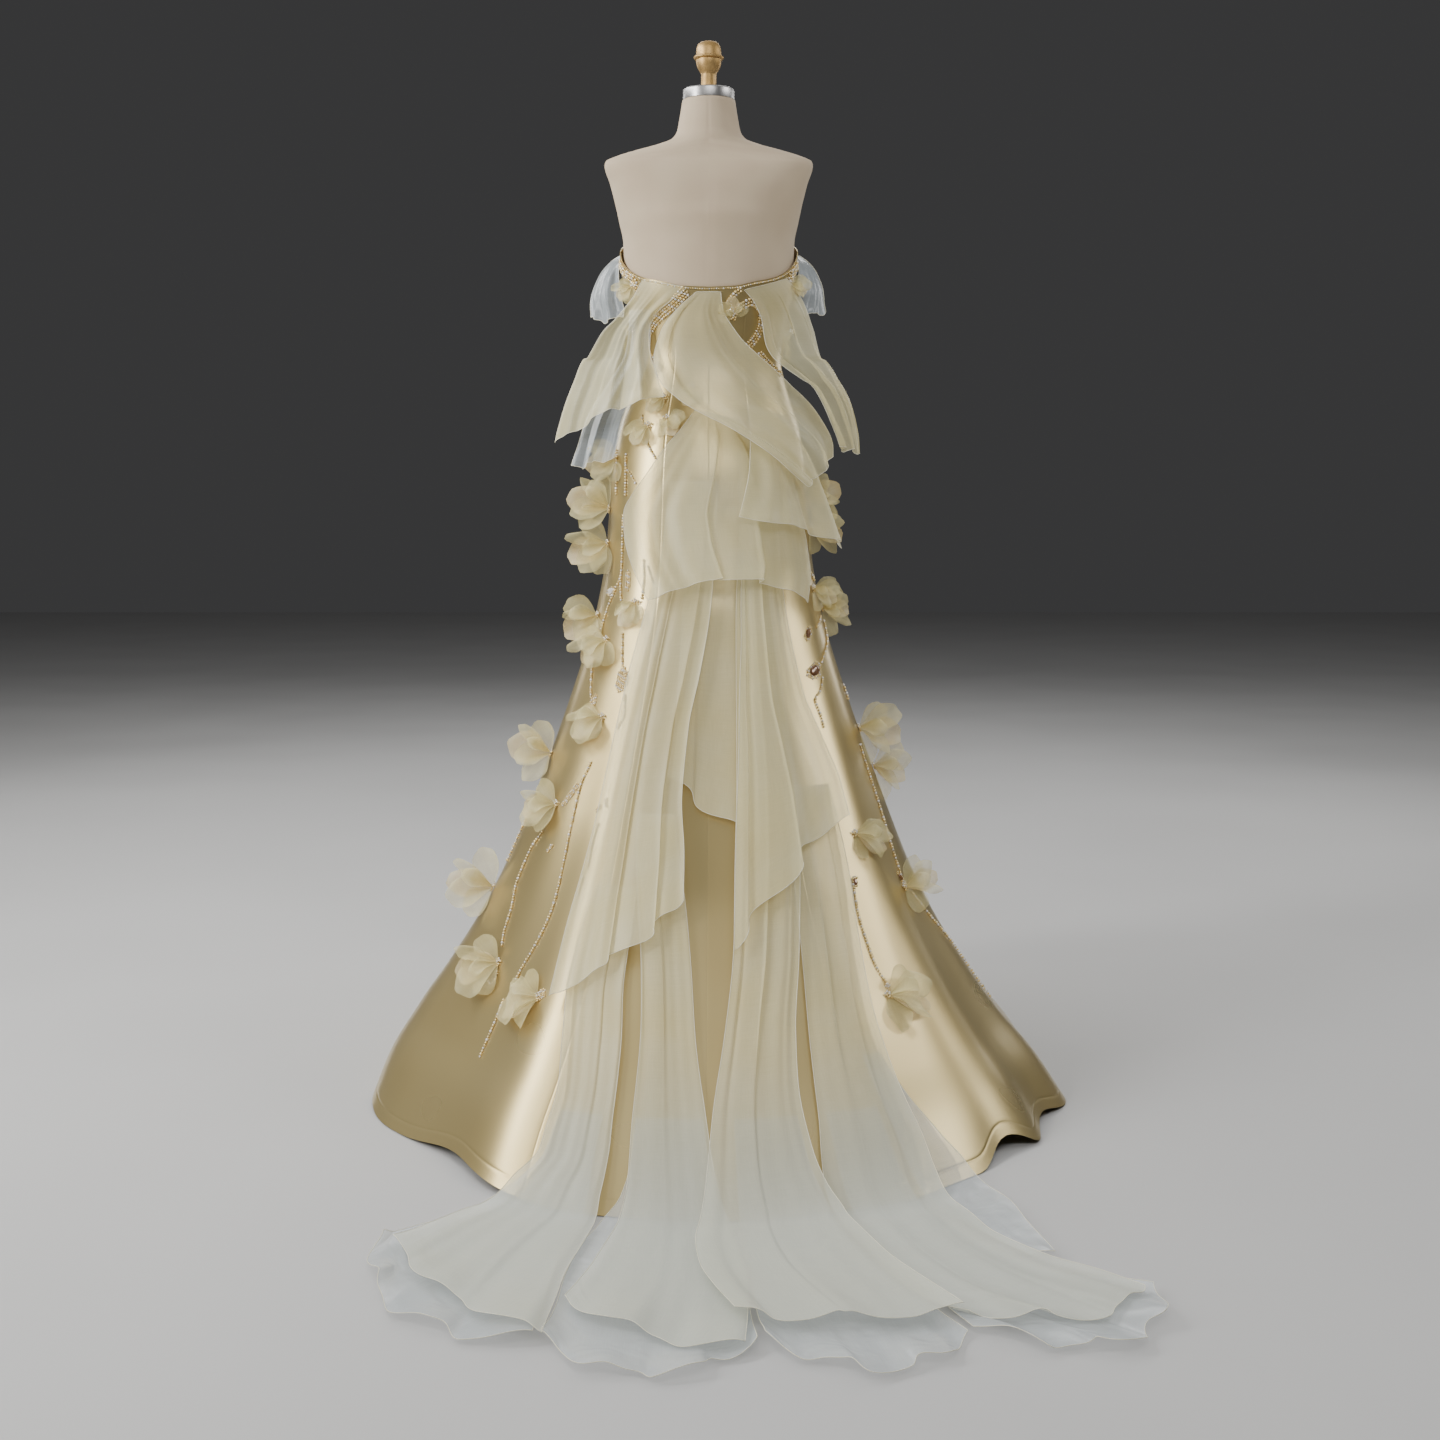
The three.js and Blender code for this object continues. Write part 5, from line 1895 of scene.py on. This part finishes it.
STRANDS = tuple(
    Strand(places)
    for places in (
        ((-75, 1004), (-70, 980), (-67.5, 957), (-66, 925)),
        ((-57.6, 996), (-56.7, 976), (-51.2, 964), (-46.1, 947)),
        ((-57.1, 987), (-55.6, 957), (-54.7, 925)),
        ((-48, 1061), (-39.9, 1016), (-31.9, 987)),
        ((-56, 894), (-55.2, 843), (-53.9, 799), (-57.5, 772), (-61.3, 748), (-64.4, 704)),
        ((-63.8, 656), (-59.7, 623), (-55.8, 598)),
        ((-53.9, 799), (-52.8, 777), (-50.2, 752)),
        ((-37.1, 820), (-35.8, 783), (-35.9, 757)),
        ((-34.1, 810), (-30, 784)),
        ((-44.8, 700), (-40.5, 649), (-37.2, 635)),
        ((-36, 606), (-34.4, 575), (-36.9, 553)),
        (
            (-45.5, 501), (-47.4, 465), (-46.8, 419), (-45.7, 356),
            (-44.9, 302), (-45.9, 263), (-48.8, 213), (-49.2, 200),
        ),
        ((-50.7, 173), (-50.4, 137), (-50.3, 119), (-50, 105)),
        ((-59.9, 393), (-64.3, 362), (-65.7, 319), (-62.9, 280), (-61.9, 252), (-60, 232)),
        ((-35.3, 416), (-35.9, 394), (-35.5, 357)),
        ((-36.4, 342), (-36.5, 317)),
        ((-80, 400), (-83, 366), (-84, 330)),
        ((65.5, 984), (59.7, 958), (66.2, 939)),
        ((68, 862), (67.7, 836), (70.9, 817), (62.9, 795)),
        ((73.7, 797), (79.7, 781)),
        ((83, 716), (80.2, 698), (74.5, 680), (68.2, 669), (60.5, 652)),
        ((75.7, 724), (64, 706)),
        ((57.5, 628), (53.6, 611), (48.4, 594), (49.4, 570), (49.3, 553)),
        ((84.6, 610), (84.6, 585)),
        ((75.6, 517), (74, 486), (72.5, 433), (69.7, 375), (67.8, 318)),
        ((67.8, 318), (75.4, 260), (84, 188), (85.5, 122)),
        ((43.4, 336), (41.7, 277), (41.6, 234), (42.9, 202)),
    )
)

# gilt scrolls under the wings and at the sides of the bust
SCROLLS = tuple(
    Strand(places, lanes)
    for lanes, places in (
        (
            4,
            (
                (-15, 1264), (-25, 1243), (-36, 1228), (-47, 1210),
                (-55, 1188), (-57, 1170), (-50, 1150), (-40, 1134),
            ),
        ),
        (2, ((22, 1267), (17, 1256), (13.5, 1244))),
        (3, ((22, 1237), (30.8, 1247), (40, 1234), (42, 1212), (38, 1190), (31, 1173))),
        (2, ((43, 1166), (54, 1150), (66, 1138), (74, 1132))),
        (3, ((-84, 1322), (-76, 1310), (-68, 1298), (-58, 1286), (-56, 1270), (-62, 1256))),
        (3, ((82, 1318), (74, 1306), (67, 1294), (66, 1280))),
    )
)


@dataclass(frozen=True)
class Leaf:
    """A leaf-shaped cluster of beads: its place, its length and width, and its lean."""

    angle: float
    height: float
    length: float
    width: float
    lean: float
    stone: bool = False
    clear: bool = False


LEAVES = tuple(
    Leaf(*row)
    for row in (
        (-54.1, 586, 44, 15, 10, False),
        (-47.7, 786, 40, 13, -8, False),
        (-39.5, 628, 46, 26, 0, False),
        (-51, 452, 52, 13, 25, False),
        (-36.8, 438, 16, 10, 40, False),
        (-34.2, 447, 18, 10, -20, False),
        (-53.3, 374, 18, 10, 30, False),
        (-58.2, 193, 30, 15, 25, True),
        (-38, 194, 22, 18, 0, False),
        (-62.8, 768, 24, 18, 60, True, True),
        (-37.1, 752, 14, 8, 90, False),
        (55.4, 700, 32, 16, 40, True),
        (53.3, 641, 44, 26, 60, True),
        (44.3, 332, 22, 14, 20, True),
        (67.2, 322, 22, 12, -20, True),
        (42.9, 198, 24, 14, 0, False),
        (17, 1233, 20, 18, 0, True, True),
        (150, 860, 40, 16, -20, True),
        (-150, 700, 40, 16, 20, True),
        (165, 1180, 44, 18, 10, False),
        (-165, 1180, 44, 18, -10, False),
    )
)


@dataclass
class Beading:
    """Bead strands, leaf-shaped bead clusters and set crystals on the satin."""

    map: GownMap
    wardrobe: Wardrobe
    strands: tuple[Strand, ...] = STRANDS + SCROLLS
    neckline_reach: float = 66.0
    neckline_step: float = 1.55
    neckline_drop: float = 3.5
    leaf_step: float = 3.5
    stone_sides: int = 12
    seed: int = 5

    def build(self) -> list[Piece]:
        """Make the beads along the neckline, the strands, the leaves and the stones."""
        rng = np.random.default_rng(self.seed)
        angles = np.arange(-self.neckline_reach, self.neckline_reach, self.neckline_step)
        centres, radii = [], []
        heights = self.map.top(angles) - self.neckline_drop
        centres.append(self.map.off(angles, heights, np.full(angles.shape, 1.2)))
        radii.append(rng.uniform(1.1, 1.5, len(angles)))
        for strand in self.strands:
            found = self._along(strand)
            centres.append(found)
            radii.append(strand.radius * rng.uniform(0.8, 1.2, len(found)))
        for leaf in LEAVES:
            found = self._leaf(leaf, rng)
            centres.append(found)
            radii.append(rng.uniform(1.3, 2.0, len(found)))
        return [
            self._beads("bead_strands", np.vstack(centres), np.concatenate(radii)),
            self._stones(),
        ]

    def _leaf(self, leaf: Leaf, rng: np.random.Generator) -> Array:
        """Bead centres that fill a leaf, or ring a stone.

        Args:
            leaf: The cluster.
            rng: The source of its unevenness.

        Returns:
            The centres in millimetres.
        """
        step = self.leaf_step
        along, side = np.meshgrid(
            np.arange(-leaf.length / 2, leaf.length / 2, step),
            np.arange(-leaf.width / 2, leaf.width / 2 + 0.1, step),
        )
        along = along + step / 2 * (np.round(side / step) % 2)
        edge = leaf.width / 2 * np.sqrt(np.clip(1 - (2 * along / leaf.length) ** 2, 0, 1)) ** 1.3
        keep = np.abs(side) <= edge
        if leaf.stone:
            keep &= (along / (leaf.length * 0.32)) ** 2 + (side / (leaf.width * 0.34)) ** 2 > 1
        along, side = along[keep], side[keep]
        along = along + rng.uniform(-0.4, 0.4, along.shape)
        side = side + rng.uniform(-0.4, 0.4, side.shape)
        a = math.radians(leaf.lean)
        seat, basis = self.map.frame_at(leaf.angle, leaf.height)
        x = side * math.cos(a) + along * math.sin(a)
        y = along * math.cos(a) - side * math.sin(a)
        width = np.linalg.norm(self.map.point(leaf.angle + 1, leaf.height, False) - seat)
        angle = leaf.angle + x / width
        height = leaf.height + y * basis[1][2]
        return self.map.point(angle, height, False) + self.map.normal(angle, height, False) * 0.9

    def _stones(self) -> Piece:
        """The set crystals, each a cut stone in the middle of its cluster."""
        parts = MeshParts()
        for leaf in LEAVES:
            if not leaf.stone:
                continue
            seat, basis = self.map.frame_at(leaf.angle, leaf.height)
            a = math.radians(leaf.lean)
            long, wide = leaf.length * 0.30, leaf.width * 0.32
            n = self.stone_sides
            turns = np.linspace(0, 2 * math.pi, n, endpoint=False)
            rings = []
            for share, level in ((0.86, 0.1), (1.0, 1.1), (0.72, 2.6), (0.42, 3.2)):
                side = wide * share * np.cos(turns)
                along = long * share * np.sin(turns)
                rings.append(
                    np.stack(
                        [
                            side * math.cos(a) + along * math.sin(a),
                            along * math.cos(a) - side * math.sin(a),
                            np.full(n, level),
                        ],
                        axis=1,
                    )
                )
            points = np.vstack([*rings, [[0, 0, 3.3], [0, 0, 0.1]]])
            k = np.arange(n)
            m = (k + 1) % n
            quads = [
                np.stack([r * n + k, r * n + m, (r + 1) * n + m, (r + 1) * n + k], axis=1)
                for r in range(3)
            ]
            none = np.full(n, -1)
            top = np.stack([3 * n + k, 3 * n + m, np.full(n, 4 * n), none], axis=1)
            low = np.stack([m, k, np.full(n, 4 * n + 1), none], axis=1)
            faces = np.vstack([*quads, top, low])
            parts.add((points @ basis + seat) * MM, faces, int(leaf.clear))
        stones = [self.wardrobe.amber, self.wardrobe.crystal]
        made = parts.build("set_crystals", stones, 10)
        dress(made)
        return made

    def _along(self, strand: Strand) -> Array:
        """Evenly spaced bead centres along a strand, in millimetres."""
        given = np.array(strand.places, float)
        at = np.arange(len(given), dtype=float)
        fine = np.linspace(0, len(given) - 1, 40 * len(given))
        angle = monotone(at, given[:, 0])(fine)
        height = monotone(at, given[:, 1])(fine)
        path = self.map.point(angle, height, False)
        run = running_length(path)
        found = []
        width = np.linalg.norm(
            self.map.point(angle + 0.5, height, False) - self.map.point(angle - 0.5, height, False),
            axis=1,
        )
        along, up = np.gradient(angle) * width, np.gradient(height)
        size = np.hypot(along, up)
        for lane in range(strand.lanes):
            aside = (lane - (strand.lanes - 1) / 2) * strand.spacing
            stops = np.arange(lane % 2 * strand.spacing / 2, run[-1], strand.spacing)
            a = np.interp(stops, run, angle - up / size * aside / width)
            h = np.interp(stops, run, height + along / size * aside)
            stand = 0.8 * strand.radius
            found.append(self.map.point(a, h, False) + self.map.normal(a, h, False) * stand)
        return np.vstack(found)

    def _beads(self, name: str, centres: Array, radii: Array) -> Piece:
        """Make one object of many beads.

        Args:
            name: Its name.
            centres: The beads' centres in millimetres.
            radii: The beads' radii in millimetres.

        Returns:
            The object.
        """
        ball, faces = ball_shape()
        points = centres[:, None] + radii[:, None, None] * ball[None]
        shift = (np.arange(len(centres)) * len(ball))[:, None, None]
        parts = MeshParts()
        bright = np.arange(len(centres)) % 3 == 1
        for slot, which in ((0, ~bright), (1, bright)):
            parts.add(
                points[which].reshape(-1, 3) * MM,
                (faces[None] + shift[: which.sum()]).reshape(-1, 3),
                slot,
            )
        made = parts.build(name, [self.wardrobe.gold, self.wardrobe.crystal], 180)
        dress(made)
        return made


# ---------------------------------------------------------------- the dress form

# height, half width, depth to the back, depth to the front, centre, squareness
SHOULDERS = np.array(
    [
        [1386, 152, 104, 104, 8, 2],
        [1410, 157, 94, 94, 3, 2.1],
        [1450, 167, 80, 80, -5, 2.3],
        [1478, 175.5, 64, 64, -8, 2.5],
        [1485, 174, 58, 58, -8, 2.4],
        [1493, 158, 54, 54, -7, 2.3],
        [1503, 126, 52, 52, -5, 2.2],
        [1513, 90, 53, 53, -2, 2],
        [1523, 64, 55, 55, 1, 2],
        [1536, 54, 53, 53, 2, 2],
        [1560, 49, 50, 50, 2, 2],
        [1587, 44.5, 46, 46, 2, 2],
    ],
    float,
)

# height, ease under the satin
WORN = np.array(
    [
        [836, 12],
        [850, 1.5],
        [908, 1.5],
        [1000, 1.5],
        [1100, 1.5],
        [1215, 1.5],
        [1275, 2],
        [1318, 5.4],
        [1355, 5.4],
    ],
    float,
)


@dataclass
class DressForm:
    """The limbless form in linen, its neck ring and finial, and its stand."""

    map: GownMap
    wardrobe: Wardrobe
    columns: int = 120
    row_step: float = 5.0
    turns: int = 72
    seams: tuple[float, ...] = (0, 32, 180, 328, 90, 270, 146, 214)
    seam_spread: float = 1.6
    seam_depth: float = 0.7

    def build(self) -> list[Piece]:
        """Make the torso, the ring, the finial, the pole and the base."""
        return [
            self._torso(),
            self._turned(
                "neck_ring",
                "form_neck_ring",
                [
                    (0, 1587.3), (42.3, 1587.3), (43.3, 1587.9), (43.5, 1589), (43.5, 1602.6),
                    (43.1, 1604), (42, 1604.9), (40.6, 1605), (39.5, 1604.6), (0, 1604.6),
                ],
                self.wardrobe.steel,
            ),
            self._turned(
                "finial",
                "form_finial",
                [
                    (0, 1605.3), (14.6, 1605.3), (16.2, 1606), (16.6, 1607.6), (16.3, 1609.2),
                    (14.8, 1610.4), (13.2, 1611), (12.8, 1612.4), (12.7, 1618), (12.7, 1629),
                    (13, 1631.2), (14.4, 1633.4), (16.4, 1636.4), (18.2, 1639.6), (19.6, 1643),
                    (20.6, 1647), (21, 1651), (21, 1654.2), (22.4, 1654.6), (24.4, 1655.2),
                    (25.2, 1656.4), (25.2, 1657.6), (24.4, 1658.8), (22.4, 1659.4),
                    (21, 1659.8), (21.1, 1662), (20.9, 1667), (20.3, 1672), (19, 1676.4),
                    (17, 1679.6), (14, 1681.8), (9.5, 1683.1), (4, 1683.7), (0, 1683.8),
                ],
                self.wardrobe.brass,
            ),
            self._turned(
                "pole",
                "stand_pole",
                [
                    (0, 22.3), (16, 22.3), (16, 60), (15.6, 60.6), (15.6, 400), (16, 400.6),
                    (16, 835), (15.3, 835.7), (0, 835.7),
                ],
                self.wardrobe.steel,
            ),
            self._turned(
                "base",
                "stand_base",
                [
                    (0, 0), (187.5, 0), (190, 1.5), (190, 14.5), (189, 17), (186.5, 19.5),
                    (183, 21.6), (180, 22), (60, 22), (0, 22),
                ],
                self.wardrobe.iron,
            ),
        ]

    def _sections(self) -> Array:
        """The torso's sections as rows of the shoulders' columns, closely spaced."""
        h = WORN[:, 0]
        wall = SATIN_WALL + WORN[:, 1]
        worn = np.stack(
            [
                h,
                self.map.half_width(h) - wall,
                self.map.back(h) - wall,
                self.map.front(h) - wall,
                self.map.centre(h),
                np.full(len(h), 2.0),
            ],
            axis=1,
        )
        given = np.vstack([worn, SHOULDERS])
        count = int((given[-1, 0] - given[0, 0]) / self.row_step)
        heights = np.union1d(
            np.linspace(given[0, 0], given[-1, 0], count), np.linspace(1475, 1530, 24)
        )
        inside = (heights > 850) & (heights < 1318)
        fine = np.stack([monotone(given[:, 0], c)(heights) for c in given.T], axis=1)
        ease = np.interp(heights, WORN[:, 0], WORN[:, 1]) + SATIN_WALL
        for column, curve in ((1, self.map.half_width), (2, self.map.back), (3, self.map.front)):
            fine[:, column] = np.where(inside, curve(heights) - ease, fine[:, column])
        fine[:, 4] = np.where(inside, self.map.centre(heights), fine[:, 4])
        return fine

    def _torso(self) -> Piece:
        """Make the torso with its seams."""
        sections = self._sections()
        n = self.columns
        a = 2 * math.pi * np.arange(n + 1) / n - math.pi / 2
        power = 2 / sections[:, 5:6]
        c, s = np.cos(a)[None], np.sin(a)[None]
        x = np.sign(c) * np.abs(c) ** power
        y = np.sign(s) * np.abs(s) ** power
        depth = np.where(y < 0, sections[:, 2:3], sections[:, 3:4])
        grid = np.stack(
            [sections[:, 1:2] * x, sections[:, 4:5] + depth * y, 0 * x + sections[:, :1]],
            axis=-1,
        )
        degrees = (np.degrees(a) + 90)[None]
        seam = np.zeros_like(x)
        for at in self.seams:
            away = np.abs(self.map.turn(at, degrees))
            seam = np.maximum(seam, np.clip(1 - away / self.seam_spread, 0, 1))
        inward = np.stack([-x, -y, 0 * x], axis=-1) * (self.seam_depth * seam)[..., None]
        grid = (grid + inward)[::-1, ::-1] * MM
        rows, columns, _ = grid.shape
        parts = MeshParts()
        faces = grid_faces(rows, columns, True)
        parts.add(grid.reshape(-1, 3), faces, 0, flat_places(grid).reshape(-1, 2))
        for row, flip in ((0, True), (rows - 1, False)):
            loop = np.arange(columns - 1) + row * columns
            after = loop + 1
            middle = grid[row, :-1].mean(axis=0)
            cap = np.vstack([grid.reshape(-1, 3)[loop], middle])
            k = np.arange(len(loop))
            m = (k + 1) % len(loop)
            centre = np.full(len(loop), len(loop))
            fan = np.stack([m, k, centre] if flip else [k, m, centre], axis=1)
            parts.add(cap, fan, 0)
        made = parts.build("linen_torso", [self.wardrobe.linen], 50)
        weld(made)
        dress(made, "form_torso")
        return made

    def _turned(
        self,
        name: str,
        node: str,
        profile: Sequence[tuple[float, float]],
        material: bpy.types.Material,
    ) -> Piece:
        """Spin a profile round the form's axis.

        Args:
            name: The new object's name.
            node: The node it stands for.
            profile: Radius and height pairs in millimetres, from the axis to the axis.
            material: Its finish.

        Returns:
            The new object.
        """
        bpy.ops.object.select_all(action="DESELECT")
        mesh = bpy.data.meshes.new(name)
        points = [(radius * MM, 0, height * MM) for radius, height in profile]
        mesh.from_pydata(points, [(i, i + 1) for i in range(len(points) - 1)], [])
        made = bpy.data.objects.new(name, mesh)
        bpy.context.collection.objects.link(made)
        select_only(made)
        bpy.ops.object.mode_set(mode="EDIT")
        bpy.ops.mesh.select_all(action="SELECT")
        bpy.ops.mesh.spin(
            steps=self.turns, angle=2 * math.pi, center=(0, 0, 0), axis=(0, 0, 1)
        )
        bpy.ops.mesh.select_all(action="SELECT")
        bpy.ops.mesh.remove_doubles(threshold=1e-6)
        bpy.ops.mesh.normals_make_consistent(inside=False)
        bpy.ops.object.mode_set(mode="OBJECT")
        bpy.ops.object.shade_smooth_by_angle(angle=math.radians(40))
        mesh.materials.append(material)
        dress(made, node)
        return made


def weld(made: Piece) -> None:
    """Merge an object's doubled points."""
    select_only(made)
    bpy.ops.object.mode_set(mode="EDIT")
    bpy.ops.mesh.select_all(action="SELECT")
    bpy.ops.mesh.remove_doubles(threshold=1e-6)
    bpy.ops.object.mode_set(mode="OBJECT")


# ---------------------------------------------------------------- the studio


@dataclass(frozen=True)
class Softbox:
    """A large soft light: its place, what it faces, its size and its power."""

    name: str
    place: tuple[float, float, float]
    aim: tuple[float, float, float]
    size: tuple[float, float]
    power: float
    colour: Colour = (1.0, 1.0, 1.0)


@dataclass(frozen=True)
class Studio:
    """A pale floor, soft lights and the camera."""

    boxes: tuple[Softbox, ...] = (
        Softbox("key_left", (-3.0, -1.6, 2.2), (0, 0, 0.9), (0.7, 2.2), 95),
        Softbox("front_top", (0.3, -3.6, 3.2), (0, 0, 0.7), (2.4, 1.2), 62),
        Softbox("top_left", (-1.8, 0.25, 2.5), (-0.2, -0.3, 0.3), (1.9, 0.4), 34),
        Softbox("top_right", (2.5, -0.1, 2.5), (0.1, -0.1, 0.6), (1.6, 0.5), 20),
        Softbox("rim_left", (-2.3, 2.6, 1.9), (0, 0, 0.6), (0.8, 1.2), 13),
        Softbox("rim_right", (2.3, 2.4, 1.9), (0, 0, 0.6), (1.0, 1.3), 13),
        Softbox("far_fill", (0.0, 3.8, 3.7), (0, 0, 0.8), (3.0, 1.6), 60),
        Softbox("overhead", (0, 1.5, 6.5), (0, 1.2, 0), (7.0, 7.0), 110),
    )
    paint: Finish = Finish(
        "pale_floor",
        ((0.55, 0.545, 0.535), (0.57, 0.565, 0.555)),
        (0.7, 0.8),
        drift=2.0,
    )
    floor_size: float = 24.0
    floor_drop: float = 0.001
    backdrop: Colour = (0.045, 0.045, 0.046)
    eye: tuple[float, float, float] = (0.019, -3.2, 0.92)
    pitch: float = 6.818
    lens: float = 46.0
    sensor: float = 36.0
    sight: float = 60.0

    def build(self, groups: Groups) -> None:
        """Lay the floor, hang the lights and set the camera.

        Args:
            groups: The shared node groups.
        """
        bpy.ops.object.select_all(action="DESELECT")
        place = (0, 0, -self.floor_drop)
        bpy.ops.mesh.primitive_plane_add(size=self.floor_size, location=place)
        floor = bpy.context.active_object
        floor.name = "floor"
        floor.data.materials.append(self.paint.build(groups))
        world = bpy.data.worlds.new("studio")
        world.use_nodes = True
        back = world.node_tree.nodes["Background"]
        fill(back, {"Color": (*self.backdrop, 1), "Strength": 1.0})
        bpy.context.scene.world = world
        for box in self.boxes:
            self._hang(box)
        data = bpy.data.cameras.new("camera")
        data.lens = self.lens
        data.sensor_width = self.sensor
        data.clip_end = self.sight
        camera = bpy.data.objects.new("camera", data)
        camera.location = self.eye
        camera.rotation_euler = (math.radians(90 - self.pitch), 0, 0)
        bpy.context.collection.objects.link(camera)
        bpy.context.scene.camera = camera

    @staticmethod
    def _hang(box: Softbox) -> None:
        """Hang one light."""
        data = bpy.data.lights.new(box.name, "AREA")
        data.shape = "RECTANGLE"
        data.size, data.size_y = box.size
        data.energy = box.power
        data.color = box.colour
        light = bpy.data.objects.new(box.name, data)
        ahead = np.array(box.aim) - np.array(box.place)
        light.location = box.place
        flat = math.hypot(ahead[0], ahead[1])
        light.rotation_euler = (
            math.atan2(flat, -ahead[2]),
            0,
            math.atan2(-ahead[0], ahead[1]),
        )
        bpy.context.collection.objects.link(light)


# ---------------------------------------------------------------- the whole


def report(made: Sequence[Piece]) -> None:
    """Log each new piece and its size in faces."""
    for piece in made:
        log.info("%s: %d faces", piece.name, len(piece.data.polygons))


def write_sizes() -> None:
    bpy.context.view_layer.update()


def main() -> None:
    """Build the whole object and its studio."""
    logging.basicConfig(level=logging.INFO, format="%(message)s")
    gown_map = GownMap()
    wardrobe = Wardrobe()
    Studio().build(wardrobe.groups)
    for maker in (
        SatinGown(gown_map, wardrobe),
        Drapery(gown_map, wardrobe),
        Flowers(gown_map, wardrobe),
        Beading(gown_map, wardrobe),
        DressForm(gown_map, wardrobe),
    ):
        report(maker.build())
    write_sizes()


if __name__ == "__main__":
    main()
